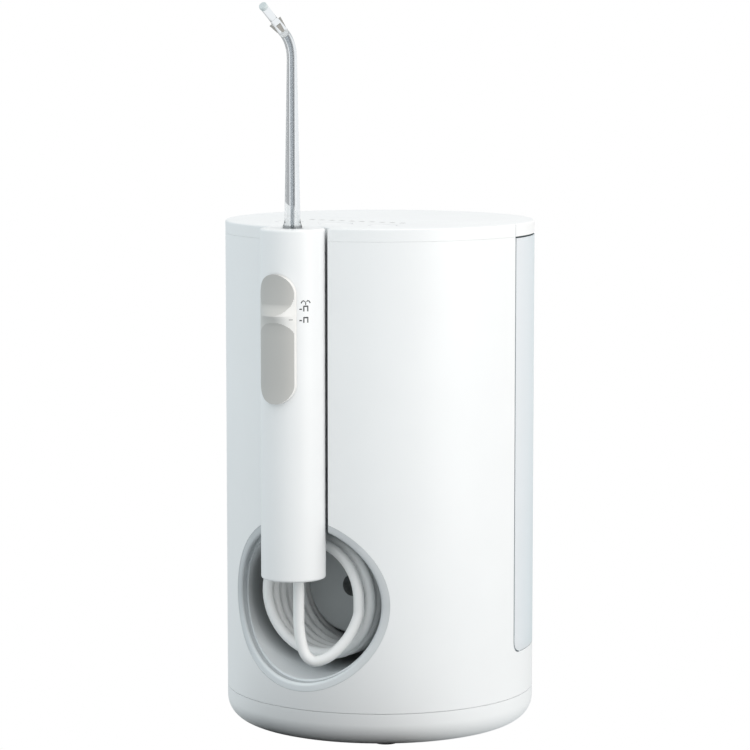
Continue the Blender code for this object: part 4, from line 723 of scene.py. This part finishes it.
def make_feet():
    for node in FEET:
        low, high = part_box(node)
        radius = (high.x - low.x) / 2
        round_off = arc((radius - FOOT_SOFT, FOOT_SOFT), FOOT_SOFT, -QUARTER, 0.0, 5)
        profile = [(0.0, 0.0)] + round_off + [(radius, high.z), (0.0, high.z)]
        foot = to_object("rubber_" + node, at_node(turned(profile), node))
        dress(foot, "rubber_dark", "base", node)


def rounded_top(outline, low):
    """Loops of a plate whose upper edge is rounded, from an outline that can be inset."""
    loops = [level(outline(0.0), low)]
    for step in range(EDGE_STEPS + 1):
        turn = QUARTER * step / EDGE_STEPS
        loops.append(level(outline(EDGE * (1 - math.cos(turn))), TOP - EDGE * (1 - math.sin(turn))))
    return loops


def light_bars(spare, low, high):
    """Blocks over the level lights, larger all round by a spare width."""
    first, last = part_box("level_lights")
    pitch = (last.x - first.x - LIGHT_WIDTH) / (LIGHT_COUNT - 1)
    row = middle("level_lights").y - AXIS_Y
    half = LIGHT_WIDTH / 2 + spare
    deep = LIGHT_DEPTH / 2 + spare
    places = [first.x + LIGHT_WIDTH / 2 + pitch * number for number in range(LIGHT_COUNT)]
    return [block((x - half, row - deep, low), (x + half, row + deep, high)) for x in places]


def make_windows():
    """Thin covers on the level lights, just below the panel's face."""
    bars = light_bars(WINDOW_SPARE, TOP - WINDOW_LOW, TOP - WINDOW_HIGH)
    windows = to_object("level_windows", bars[0])
    for bar in bars[1:]:
        carve(windows, bar, "UNION")
    trim(windows, POINTER_GREY, "base")


def button_reach(node):
    """Radius of a button's lip."""
    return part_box(node)[1].x - middle(node).x


def make_top():
    low = BAND_SEAM + BAND_GAP / 2
    under = TOP - WALL
    panel = to_object("control_panel", stack(rounded_top(front_outline, low)))
    carve(panel, prism(front_outline(WALL), low - OVERCUT, under))
    for node in BUTTON_BODIES:
        radius = button_reach(node) - BUTTON_LIP + SEAM
        carve(panel, cylinder(radius, under - OVERCUT, TOP + OVERCUT, body_place(node)))
    for bar in light_bars(LIGHT_SPARE, under - OVERCUT, TOP + OVERCUT):
        carve(panel, bar)
    true_round(panel, [BODY_ROUND, GROOVE_ROUND])
    dress(panel, "white_plastic", "base", "top_panel")


def make_lid():
    """Lid with its skirt, and a dark ring in the gap above the tank, painted as the shade in that gap."""
    low = BAND_SEAM + BAND_GAP / 2
    lid = to_object("tank_cover", stack(rounded_top(rear_outline, low)))
    skirt = WALL + SEAM
    carve(lid, prism(rear_outline(skirt), low - OVERCUT, low + SKIRT_UP), "UNION")
    carve(lid, prism(rear_outline(skirt + SKIRT_WALL), low - 2 * OVERCUT, low + LID_HOLLOW))
    true_round(lid, [BODY_ROUND])
    dress(lid, "white_plastic", "lid", "tank_lid")
    shade_ring = to_object("lid_shade_ring", prism(rear_outline(SHADE_RING_INSET), low - LID_GAP, low))
    carve(shade_ring, prism(rear_outline(WALL + SEAM / 2), low - OVERCUT, low + OVERCUT))
    trim(shade_ring, LID_GAP_SHADE, "lid")


def make_buttons():
    under = TOP - WALL - SEAM
    lip_low = under - BUTTON_LIP_DEPTH
    shares = [step / EDGE_STEPS for step in range(EDGE_STEPS + 1)]
    for node, body in BUTTON_BODIES.items():
        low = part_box(node)[0].z
        lip = button_reach(node)
        radius = lip - BUTTON_LIP
        wide = radius * BUTTON_DISH_SHARE
        dish = [(wide * share, TOP - BUTTON_DISH * (1 - share ** 2)) for share in shares]
        rim = arc((radius - BUTTON_SOFT, TOP - BUTTON_SOFT), BUTTON_SOFT, QUARTER, 0.0, 4)
        skirt = [(radius, under), (lip, under), (lip, lip_low)]
        stem = [(BUTTON_STEM, lip_low), (BUTTON_STEM, low), (0.0, low)]
        cap = turned(dish + rim + skirt + stem)
        dress(to_object("cap_" + node, at_node(cap, node)), "white_plastic", body, node)


def make_tank():
    top = BAND_SEAM - LID_GAP
    tank = to_object("water_vessel", prism(rear_outline(0.0), TANK_SHELF, top))
    carve(tank, tank_side(SEAM), "INTERSECT")
    carve(tank, prism(rear_outline(WALL), TANK_SHELF + SEAM + WALL, top + OVERCUT))
    carve(tank, cylinder(OUTLET_HOLE, TANK_SHELF - OVERCUT, TANK_SHELF + 2 * OVERCUT, PORT_PLACE))
    true_round(tank, [BODY_ROUND, ((0.0, AXIS_Y), RADIUS - WALL)])
    dress(tank, "tank_clear", "water_tank", "tank")
    # Dark lines painted as shade at the tank's front edges.
    make_tank_edge("tank_edge_left", -1.0, top)
    make_tank_edge("tank_edge_right", 1.0, top)


def make_tank_edge(name, side, top):
    """Dark line painted as shade where the tank's front edge meets the housing: down its front and round
    the lower corner.
    """
    shape = bmesh.new()
    corner = TANK_CORNER - SEAM
    centre = (SEAM + corner, TANK_SHELF + SEAM + corner)
    outer = [(SEAM, top)] + arc(centre, corner, math.pi, 1.5 * math.pi, 12)
    inner = [(SEAM + TANK_EDGE, top)] + arc(centre, corner - TANK_EDGE, math.pi, 1.5 * math.pi, 12)
    skin = RADIUS + TANK_EDGE_LIFT
    rows = []
    for pair in zip(outer, inner):
        rows.append([shape.verts.new((side * math.sqrt(skin ** 2 - y ** 2), y, z)) for y, z in pair])
    ribbon(shape, rows)
    trim(to_object(name, shape), TANK_EDGE_SHADE, "water_tank")


# Hose bay

def make_bezel():
    """Ring whose face follows the round body, with a soft shoulder and a step down to a second lip."""
    outer = BEZEL_OUTER - SEAM_GAP / 4
    shoulder = arc((BEZEL_STEP + BEZEL_SOFT, BEZEL_SOFT), BEZEL_SOFT, 1.5 * math.pi, math.pi, 10)
    ledge = arc((BEZEL_STEP - LEDGE_SOFT, LEDGE_DEPTH - LEDGE_SOFT), LEDGE_SOFT, 0.0, QUARTER, 4)
    lip = arc((BEZEL_INNER + LIP_SOFT, LEDGE_DEPTH + LIP_SOFT), LIP_SOFT, 1.5 * math.pi, math.pi, 6)
    profile = [(outer, SEAM_SOFT), (outer - SEAM_SOFT, 0.0)] + shoulder + ledge + lip
    # Band materials: the ring's grey with painted light and shade, the bay wall's painted shade behind the
    # lip, and a darker grey painted as shade on the step wall.
    kinds = [0] * (1 + len(shoulder)) + [2] * len(ledge) + [0] * len(lip) + [1, 0, 0]
    rings = []
    for radius, depth in profile:
        ring = []
        for x, up in bay_round(radius):
            ring.append((x, -math.sqrt(RADIUS ** 2 - x ** 2) + depth, BAY_HEIGHT + up))
        rings.append(ring)
    for radius in (BEZEL_INNER, outer):
        rings.append([(x, -BEZEL_REAR, BAY_HEIGHT + up) for x, up in bay_round(radius)])
    shape = bmesh.new()
    loops = [[shape.verts.new(point) for point in ring] for ring in rings]
    for kind, band in zip(kinds, bridge(shape, loops + loops[:1])):
        for face in band:
            face.material_index = kind
    bezel = to_object("bay_ring", shape)
    coat(bezel, MATERIALS["bezel_grey"], WELL_PAINTED_SHADE, STEP_PAINTED_SHADE)
    carve(bezel, at_handle(cylinder(GROOVE_RADIUS, BAY_HEIGHT, TOP, steps=ROUND)))
    dress(bezel, "bezel_grey", "base", "bay_bezel")


def make_bay():
    """Cup with its hub: the cup wall is painted darker deeper in and towards the left as shade, and the
    hub's face has a darker grey of its own, painted as the shade at the back of the bay.
    """
    front = BEZEL_REAR - SEAM_GAP / 2
    rear = BAY_BACK - BAY_WALL
    outer = BAY_INNER + BAY_WALL
    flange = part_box("hose_bay")[1].x
    shoulder = front - BAY_WALL
    foot_centre = (BAY_FOOT - BAY_FOOT_SOFT, BAY_BACK + BAY_FOOT_SOFT)
    foot = arc(foot_centre, BAY_FOOT_SOFT, 0.0, -QUARTER, 6)
    cup = [(0.0, rear), (outer, rear), (outer, shoulder), (flange, shoulder), (flange, front)]
    cup += [(BEZEL_INNER, front)] + foot + [(0.0, BAY_BACK)]
    bay = to_object("hose_well", at_bay(turned(cup, ROUND)))
    hub_face = BAY_BACK + HUB_LENGTH
    edge = arc((HUB_RADIUS - HUB_SOFT, hub_face - HUB_SOFT), HUB_SOFT, 0.0, QUARTER, 6)
    root = BAY_BACK - BAY_WALL / 2
    hub = turned([(0.0, root), (HUB_RADIUS, root)] + edge + [(0.0, hub_face)], HUB_STEPS)
    carve(bay, at_bay(hub, COIL_SHIFT), "UNION")
    hub_hole = cylinder(HUB_HOLE, rear - OVERCUT, hub_face + OVERCUT)
    carve(bay, at_bay(hub_hole, COIL_SHIFT + HUB_HOLE_SHIFT))
    gland = COIL_SHIFT + COIL_RADIUS + 2 * COIL_SLACK
    gland_hole = cylinder(GLAND_HOLE, rear - OVERCUT, BAY_BACK + OVERCUT)
    carve(bay, at_bay(gland_hole, gland, HOSE_DIAMETER + SEAM + GLAND_RISE))
    coat(bay, WELL_PAINTED_SHADE, HUB_PAINTED_SHADE)
    on_hub = AXIS_Y - BAY_BACK - HUB_LENGTH / 2
    for face in bay.data.polygons:
        face.material_index = int(face.normal.y < HUB_FACING and face.center.y < on_hub)
    dress(bay, "bezel_grey", "base", "hose_bay")


# Hose

def smooth_route(points, steps):
    """Smooth curve through given points whose first and last spans stay straight."""
    knots = [Vector(point) for point in points]
    pulls = [(after - before) / 2 for before, after in zip(knots, knots[2:])]
    pulls[0] = (knots[1] - knots[0]).normalized() * (knots[2] - knots[1]).length
    pulls[-1] = (knots[-1] - knots[-2]).normalized() * (knots[-2] - knots[-3]).length
    route = [knots[0]]
    for start, end, pull_in, pull_out in zip(knots[1:-2], knots[2:-1], pulls, pulls[1:]):
        for step in range(steps):
            t = step / steps
            route.append(
                start * (2 * t ** 3 - 3 * t ** 2 + 1) + pull_in * (t ** 3 - 2 * t ** 2 + t)
                + end * (3 * t ** 2 - 2 * t ** 3) + pull_out * (t ** 3 - t ** 2)
            )
    return route + knots[-2:]


def coil_path(right, front):
    """Turns from the front one to the gland at the back; all but the first lie wider and hang lower."""
    coil = []
    for step in range(COIL_TURNS * COIL_STEPS + 1):
        turns = step / COIL_STEPS
        share = min(max(2 * turns - 1, 0.0), 1.0)
        ease = 3 * share ** 2 - 2 * share ** 3
        slack = COIL_SLACK * ease
        radius = COIL_RADIUS + slack
        angle = 2 * math.pi * turns
        coil.append(Vector((COIL_SHIFT + slack + radius * math.cos(angle), front + COIL_PITCH * turns,
                            BAY_HEIGHT - COIL_SAG * ease + radius * math.sin(angle))))
    coil.append(Vector((right + 2 * COIL_SLACK, -COIL_REAR, BAY_HEIGHT + HOSE_DIAMETER)))
    return coil


def hose_path():
    """Whole hose, from the gland at the back of the bay, through the coil, to the handle."""
    front = -COIL_REAR - COIL_TURNS * COIL_PITCH
    right = COIL_SHIFT + COIL_RADIUS
    start = BAY_HEIGHT - HOSE_STUB - SEAM
    exit_y = -HANDLE_AXIS + TAIL_BEHIND
    tail = [(right, front, start), (right, front, start - HOSE_STUB)]
    tail += [(x * MM, y * MM, z * MM) for x, y, z in TAIL_POINTS]
    tail += [(0.0, exit_y, TAIL_UPRIGHT), (0.0, exit_y, HANDLE_LOW + HOSE_INSERT)]
    path = list(reversed(coil_path(right, front))) + smooth_route(tail, TAIL_STEPS)
    return [point + Vector((0.0, AXIS_Y, 0.0)) for point in path]


def tube_mesh(name, path, radius, sides):
    """Round tube with closed ends, carried along its path without twist."""
    shape = bmesh.new()
    rings = []
    side = Vector((0.0, 1.0, 0.0))
    for index, point in enumerate(path):
        ahead = path[min(index + 1, len(path) - 1)]
        behind = path[max(index - 1, 0)]
        along = (ahead - behind).normalized()
        side = (side - along * side.dot(along)).normalized()
        other = along.cross(side)
        rings.append([shape.verts.new(point + side * x + other * y) for x, y in circle(radius, sides)])
    bridge(shape, rings)
    shape.faces.new(rings[0])
    shape.faces.new(rings[-1])
    moved(shape, SHIFT.inverted())
    return to_object(name, shape, TUBE_SHARP)


def make_hose():
    path = hose_path()
    hose = tube_mesh("water_hose", path, HOSE_DIAMETER / 2, HOSE_SIDES)
    # The hose's material has painted shade on its rear turns.
    coat(hose, MATERIALS["hose_white"])
    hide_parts("hose_coil", "hose_tail")
    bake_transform(hose)


# Handle

def make_handle():
    inner = HANDLE_RADIUS - HANDLE_WALL
    under = TOP - HANDLE_WALL
    edge = HANDLE_RADIUS - HANDLE_EDGE
    top = arc((edge, TOP - HANDLE_EDGE), HANDLE_EDGE, QUARTER, 0.0, 6)
    bottom = arc((edge, HANDLE_LOW + HANDLE_EDGE), HANDLE_EDGE, 0.0, -QUARTER, 6)
    mouth = arc((MOUTH_RADIUS + MOUTH_SOFT, TOP - MOUTH_SOFT), MOUTH_SOFT, math.pi, QUARTER, 3)
    profile = mouth + top + bottom + [(inner, HANDLE_LOW), (inner, under), (MOUTH_RADIUS, under)]
    shell = to_object("handle_sleeve", at_handle(turned(profile, HANDLE_STEPS)))
    slot_low = PAD_LOW + PAD_LENGTH / 2 - SLOT_DROP
    slot = block((-SLOT_HALF, -HANDLE_RADIUS - OVERCUT, slot_low),
                 (SLOT_HALF, -inner + OVERCUT, slot_low + SLOT_LENGTH))
    carve(shell, at_handle(slot))
    true_round(shell, [((0.0, AXIS_Y - HANDLE_AXIS), HANDLE_RADIUS)])
    dress(shell, "white_plastic", "handle", "handle_shell")


def pad_half_width(up):
    near_end = min(up, PAD_LENGTH - up)
    if near_end >= PAD_HALF:
        return PAD_HALF
    return math.sqrt(max(0.0, PAD_HALF ** 2 - (PAD_HALF - near_end) ** 2))


def dish_share(across, up):
    """Share of the way out from a thumb dish's middle to its rim, and above 1 outside both dishes."""
    rim = PAD_HALF - PAD_RIM
    centre = PAD_LENGTH - PAD_HALF
    rise = up - centre
    if rise < 0.0:
        rise *= rim / (centre - UPPER_DISH_LOW)
    climb = min(up - PAD_HALF, 0.0)
    if up > LOWER_DISH_SHOULDER:
        climb = (up - LOWER_DISH_SHOULDER) * rim / (LOWER_DISH_TOP - LOWER_DISH_SHOULDER)
    return min(math.hypot(across, rise), math.hypot(across, climb)) / rim


def pad_face(across, up):
    """Distance of the pad's face from the handle's axis: a round skin, a thumb ridge and two dishes."""
    skin = math.sqrt(PAD_RADIUS ** 2 - across ** 2) - PAD_FALL * (across / PAD_HALF) ** 4
    if up > RIDGE_UP:
        crest = max(0.0, 1.0 - (up - RIDGE_UP) / RIDGE_OVER)
    else:
        crest = max(0.0, 1.0 - (RIDGE_UP - up) / RIDGE_UNDER) ** RIDGE_HOLLOW
    fall = 1.0 - (across / PAD_HALF) ** 2
    ridge = RIDGE_RISE * fall * crest
    dish = max(0.0, 1.0 - dish_share(across, up) ** 2)
    return skin + ridge - DISH_DEPTH * dish


def pad_section(shape, up):
    half = pad_half_width(up)
    inner = HANDLE_RADIUS + SEAM
    xs = [half * (2 * step / PAD_COLUMNS - 1) for step in range(PAD_COLUMNS + 1)]
    face = [(x, -pad_face(x, up), PAD_LOW + up) for x in xs]
    back = [(x, -math.sqrt(inner ** 2 - x ** 2), PAD_LOW + up) for x in reversed(xs)]
    return [shape.verts.new(point) for point in face + back]


def pad_rows():
    """Heights of the pad's sections, closer together towards its round ends."""
    turns = [QUARTER * step / PAD_END_ROWS for step in range(2, PAD_END_ROWS + 1)]
    end_rows = [PAD_HALF * (1 - math.cos(turn)) for turn in turns]
    length = PAD_LENGTH - 2 * PAD_HALF
    straight = [PAD_HALF + length * step / PAD_ROWS for step in range(1, PAD_ROWS)]
    return end_rows + straight + [PAD_LENGTH - up for up in reversed(end_rows)]


def make_switch():
    """Thumb pad, whose rim and upper dish have materials of their own with painted light and shade, and
    the post behind it.
    """
    shape = bmesh.new()
    rows = pad_rows()
    rings = [pad_section(shape, up) for up in rows]
    for low, high, band in zip(rows, rows[1:], bridge(shape, rings)):
        up = (low + high) / 2
        for column, face in enumerate(band):
            across = sum(corner.co.x for corner in face.verts) / 4
            # The rim's grey-to-off-white and the upper dish's lighter lower part are painted light and
            # shade.
            if column >= PAD_COLUMNS or dish_share(across, up) > 1.0:
                face.material_index = 1
            elif up > RIDGE_UP:
                face.material_index = 2
    for ring in (rings[0], rings[-1]):
        shape.faces.new(ring).material_index = 1
    pad = to_object("thumb_switch", at_handle(shape, PAD_TURN), PAD_SHARP)
    stem = PAD_LOW + PAD_LENGTH / 2
    stem_shape = block((-STEM_HALF, -HANDLE_RADIUS - STEM_FRONT, stem - STEM_REACH),
                       (STEM_HALF, -STEM_REAR, stem + STEM_REACH))
    post = to_object("thumb_switch_post", at_handle(stem_shape))
    coat(pad, MATERIALS["switch_grey"], RIM_PAINTED_LIGHT, DISH_PAINTED_LIGHT)
    dress(pad, "switch_grey", "switch", "slide_switch")
    dress(post, "switch_grey", "switch")
    make_pointer()


def make_pointer():
    """Small printed dash on the ridge, level with the lower sign."""
    shape = bmesh.new()
    rows = []
    for step in range(POINTER_STEPS + 1):
        across = POINTER_START + POINTER_LENGTH * step / POINTER_STEPS
        row = []
        for up in (POINTER_LOW, POINTER_HIGH):
            row.append(shape.verts.new((across, -pad_face(across, up) - PRINT_LIFT, PAD_LOW + up)))
        rows.append(row)
    ribbon(shape, rows)
    trim(to_object("switch_pointer", at_handle(shape, PAD_TURN)), POINTER_GREY, "switch")


def print_stroke(name, points, width):
    """Flat printed line on the handle: points are angle from the front in degrees, and height in mm."""
    shape = bmesh.new()
    lift = HANDLE_RADIUS + PRINT_LIFT
    rows = []
    for index, (turn, height) in enumerate(points):
        before = points[max(index - 1, 0)]
        after = points[min(index + 1, len(points) - 1)]
        sideways = math.radians(after[0] - before[0]) * lift
        along = Vector((sideways, (after[1] - before[1]) * MM)).normalized()
        out = Vector((-along.y, along.x)) * width / 2
        row = []
        for sign in (-1, 1):
            angle = math.radians(turn) + sign * out.x / lift
            row.append(shape.verts.new((lift * math.sin(angle), -lift * math.cos(angle),
                                        height * MM + sign * out.y)))
        rows.append(row)
    ribbon(shape, rows)
    trim(to_object(name, at_handle(shape)), PRINT_GREY, "handle")


def make_print():
    """Two plain signs beside the switch: a nozzle with a spray, and a nozzle alone, each with its tick."""
    left_spray = [(47.5, 162.2), (49.5, 162.9), (52.5, 163.1), (54.0, 162.7)]
    right_spray = [(58.0, 162.7), (59.5, 163.1), (62.5, 162.9), (65.0, 162.2)]
    print_stroke("mark_spray_left", left_spray, SPRAY_WIDTH)
    print_stroke("mark_spray_right", right_spray, SPRAY_WIDTH)
    print_stroke("mark_spray_stem", [(56.0, 161.5), (56.0, 162.8)], SPRAY_STEM_WIDTH)
    for name, low in (("upper", 159.3), ("lower", 155.3)):
        print_stroke(f"mark_{name}_tick", [(44.5, low + 0.8), (49.0, low + 0.8)], SIGN_WIDTH)
        for side, turn in (("left", 52.5), ("right", 60.0)):
            print_stroke(f"mark_{name}_{side}", [(turn, low), (turn, low + 2.0)], SIGN_WIDTH)
        print_stroke(f"mark_{name}_top", [(52.5, low + 1.8), (60.0, low + 1.8)], SIGN_TOP_WIDTH)


# Nozzle

def bend_point(turn):
    across = NOZZLE_BEND_RADIUS * (1 - math.cos(turn))
    rise = NOZZLE_BEND_RADIUS * math.sin(turn)
    return Vector((0.0, -across, TOP + NOZZLE_RISE + rise))


def nozzle_route():
    """Centre line, lean and outer radius from the inserted foot to the end of the bend."""
    stations = [(TOP + height * MM, radius) for height, radius in NOZZLE_FOOT]
    for step in range(1, NOZZLE_TAPER_STEPS + 1):
        share = step / NOZZLE_TAPER_STEPS
        rise = NOZZLE_FLARE * MM + (NOZZLE_RISE - NOZZLE_FLARE * MM) * share
        stations.append((TOP + rise, NOZZLE_WIDE + (NOZZLE_SLIM - NOZZLE_WIDE) * share))
    route = [(Vector((0.0, 0.0, height)), 0.0, radius * MM) for height, radius in stations]
    for step in range(1, NOZZLE_BEND_STEPS + 1):
        turn = NOZZLE_BEND * step / NOZZLE_BEND_STEPS
        route.append((bend_point(turn), turn, NOZZLE_SLIM * MM))
    return route


def swept(stations):
    """Closed pipe through stations that run out along the outside and back along the bore."""
    shape = bmesh.new()
    loops = []
    for centre, turn, radius in stations:
        front = Vector((0.0, -math.cos(turn), -math.sin(turn)))
        ring = [centre + Vector((x, 0.0, 0.0)) + front * y for x, y in circle(radius, NOZZLE_SIDES)]
        loops.append([shape.verts.new(point) for point in ring])
    bridge(shape, loops + loops[:1])
    return shape


def make_nozzle():
    """Clear tube, and a grey-tinted core in its bore, painted as the shade the hollow bore shows through
    the clear wall.
    """
    route = nozzle_route()
    bore = [(centre, turn, NOZZLE_CORE) for centre, turn, _ in reversed(route)]
    stations = route + [station for station in bore if station[1] > 0.0] + [bore[-1]]
    nozzle = to_object("jet_tube", at_handle(swept(stations)), CLEAR_SHARP)
    dress(nozzle, "nozzle_clear", "spray_nozzle", "nozzle")
    path = [Vector((0.0, AXIS_Y - HANDLE_AXIS, 0.0)) + centre for centre, _, _ in route]
    bend = path[-1 - NOZZLE_BEND_STEPS:]
    core = tube_mesh("jet_bore", path[:1] + bend, NOZZLE_CORE - CORE_GAP, CORE_SIDES)
    trim(core, BORE_PAINTED_SHADE, "spray_nozzle")


def fin_loops():
    """Sections of a fin that gets wider and stands further out along the collar."""
    loops = []
    for step, (radius, height) in enumerate(TIP_COLLAR):
        width = (FIN_HALF + FIN_WIDEN * step) * MM
        inner = (radius + FIN_SINK) * MM
        proud = (radius + FIN_PROUD + FIN_FLARE * step) * MM
        loops.append(level(oblong((inner, -width), (proud, width)), height * MM))
    return loops


def make_tip():
    """Slim clear jet on a short clear collar, with three fins that flare out along the collar, painted
    grey as the shade the clear fins show.
    """
    lean = Matrix.Translation(bend_point(NOZZLE_BEND)) @ Matrix.Rotation(NOZZLE_BEND, 4, "X")
    profile = [(radius * MM, height * MM) for radius, height in TIP_FOOT + TIP_COLLAR + TIP_JET]
    shape = turned(profile)
    for face in shape.faces:
        height = face.calc_center_median().z
        face.material_index = int(height < TIP_FOOT_TOP) + 2 * int(height > TIP_END_LOW)
    tip = to_object("jet_tip", at_handle(moved(shape, lean)), CLEAR_SHARP)
    for number, turn in enumerate(FIN_TURNS):
        spin = lean @ Matrix.Rotation(math.radians(turn), 4, "Z")
        fin = to_object(f"tip_fin_{number + 1}", at_handle(moved(stack(fin_loops()), spin)))
        trim(fin, FIN_PAINTED_SHADE, "spray_nozzle")
    coat(tip, TIP_CLEAR, MATERIALS["hose_white"], TIP_END)
    dress(tip, "nozzle_clear", "spray_nozzle", "nozzle_tip")


# Nodes kept as they are

def dress_nodes():
    slots = {part["node"]: part["material_slot"] for part in frame["record"]["subparts"]}
    for node, thing in frame["nodes"].items():
        thing.data.materials.clear()
        coat(thing, MATERIALS[slots[node]])


# Studio: lengths in metres, turns in degrees from the front towards the right
CAMERA_TURN = 31.2
CAMERA_DISTANCE = 1.1412
CAMERA_HEIGHT = 0.2602
CAMERA_DOWN = 6.524
CAMERA_LENS = 147.75
CAMERA_SHIFT = -5.0 / 750.0
FLOOR_HALF = 0.6
FLOOR_GLOW = 0.65
FLOOR_TINT = (0.93, 0.985, 1.0)
DARK_TURN = 9.2
DARK_OUT = 0.070
DARK_STRETCH = 2.0
DARK_START = 0.030
DARK_END = 0.068
HORIZON = 0.80
ZENITH = 1.18
SKY_LEFT = (0.89, 0.965, 1.0)
SKY_RIGHT = (1.0, 0.985, 0.975)
SKY_SLOPE = 0.45
CARD_TINT = (0.96, 0.98, 1.0)
CARD_LEFT = 1.0
CARD_RIGHT = 0.47
CARD_START = 0.03
CARD_END = 0.22
KEY_TURN = 85.0
KEY_DISTANCE = 1.3
KEY_HEIGHT = 0.31
KEY_SIZE = (0.9, 1.4)
KEY_POWER = 7.9
KEY_TINT = (1.0, 0.965, 0.94)
AIM_HEIGHT = 0.12


def around(turn, distance, height):
    """Point round the body's axis."""
    angle = math.radians(turn)
    return (distance * math.sin(angle), AXIS_Y - distance * math.cos(angle), height)


def make_floor():
    """White floor whose bounce light fades out in a long patch at the foot of the body."""
    mesh = bpy.data.meshes.new("floor")
    outline = oblong((-FLOOR_HALF, -FLOOR_HALF), (FLOOR_HALF, FLOOR_HALF))
    mesh.from_pydata(level(outline, 0.0), [], [(0, 1, 2, 3)])
    floor = add_object("floor", mesh)
    floor.location = around(DARK_TURN, DARK_OUT, 0.0)
    floor.rotation_euler = (0.0, 0.0, math.radians(DARK_TURN))
    material, tree, _ = new_material("floor_paper")
    narrow = add_node(tree, "Mapping")
    narrow.inputs["Scale"].default_value = (1.0, 1.0 / DARK_STRETCH, 1.0)
    link(place_in(tree), narrow.inputs["Vector"])
    away = add_node(tree, "VectorMath")
    away.operation = "LENGTH"
    link(narrow.outputs["Vector"], away.inputs[0])
    bounce = spread(tree, away.outputs["Value"], 0.0, FLOOR_GLOW, DARK_START, DARK_END)
    camera_ray = add_node(tree, "LightPath").outputs["Is Camera Ray"]
    most = add_node(tree, "Math")
    most.operation = "MAXIMUM"
    link(bounce, most.inputs[0])
    link(camera_ray, most.inputs[1])
    glow = add_node(tree, "Emission")
    link(most.outputs["Value"], glow.inputs["Strength"])
    link(ramp(tree, camera_ray, FLOOR_TINT, WHITE), glow.inputs["Color"])
    link(glow.outputs["Emission"], tree.nodes["Material Output"].inputs["Surface"])
    coat(floor, material)


def mix_shaders(tree, share, first, second):
    node = add_node(tree, "MixShader")
    link(share, node.inputs["Fac"])
    link(first, node.inputs[1])
    link(second, node.inputs[2])
    return node.outputs["Shader"]


def make_world():
    """Sky that is cooler on the left, a card that clear pieces show, and white paper for the camera."""
    world = bpy.data.worlds.new("studio")
    world.use_nodes = True
    tree = world.node_tree
    sky = tree.nodes["Background"]
    ray = add_node(tree, "TexCoord").outputs["Generated"]
    parts = add_node(tree, "SeparateXYZ")
    link(ray, parts.inputs["Vector"])
    angle = math.radians(CAMERA_TURN)
    rightward = (math.cos(angle), math.sin(angle))
    to_right = toward(tree, ray, (*rightward, 0.0))
    warm_side = toward(tree, ray, (*rightward, SKY_SLOPE))
    side = spread(tree, warm_side, 0.0, 1.0, -1.0, 1.0)
    link(ramp(tree, side, SKY_LEFT, SKY_RIGHT), sky.inputs["Color"])
    link(spread(tree, parts.outputs["Z"], HORIZON, ZENITH), sky.inputs["Strength"])
    paper = add_node(tree, "Background")
    paper.inputs["Color"].default_value = (*WHITE, 1.0)
    card = add_node(tree, "Background")
    card.inputs["Color"].default_value = (*CARD_TINT, 1.0)
    card_light = spread(tree, to_right, CARD_LEFT, CARD_RIGHT, CARD_START, CARD_END)
    link(card_light, card.inputs["Strength"])
    seen = add_node(tree, "LightPath")
    through = mix_shaders(tree, seen.outputs["Is Transmission Ray"],
                          sky.outputs["Background"], card.outputs["Background"])
    pick = mix_shaders(tree, seen.outputs["Is Camera Ray"], through, paper.outputs["Background"])
    link(pick, tree.nodes["World Output"].inputs["Surface"])
    bpy.context.scene.world = world


def make_key_light():
    data = bpy.data.lights.new("key", "AREA")
    data.shape = "RECTANGLE"
    data.size, data.size_y = KEY_SIZE
    data.energy = KEY_POWER
    data.color = KEY_TINT
    lamp = add_object("key", data)
    lamp.location = around(KEY_TURN, KEY_DISTANCE, KEY_HEIGHT)
    aim = Vector((0.0, AXIS_Y, AIM_HEIGHT)) - lamp.location
    lamp.rotation_euler = aim.to_track_quat("-Z", "Y").to_euler()


def make_camera():
    data = bpy.data.cameras.new("camera")
    data.sensor_width = 36.0
    data.lens = CAMERA_LENS
    data.shift_x = CAMERA_SHIFT
    data.clip_start = 0.05
    camera = add_object("camera", data)
    camera.location = around(CAMERA_TURN, CAMERA_DISTANCE, CAMERA_HEIGHT)
    camera.rotation_euler = (math.radians(90.0 - CAMERA_DOWN), 0.0, math.radians(CAMERA_TURN))
    bpy.context.scene.camera = camera
    bpy.context.scene.view_settings.view_transform = "Standard"


make_camera()
make_hose()
dress_nodes()
make_housing()
make_base_cover()
make_feet()
make_top()
make_windows()
make_lid()
make_buttons()
make_tank()
make_bezel()
make_bay()
make_handle()
make_switch()
make_print()
make_nozzle()
make_tip()
make_floor()
make_world()
make_key_light()
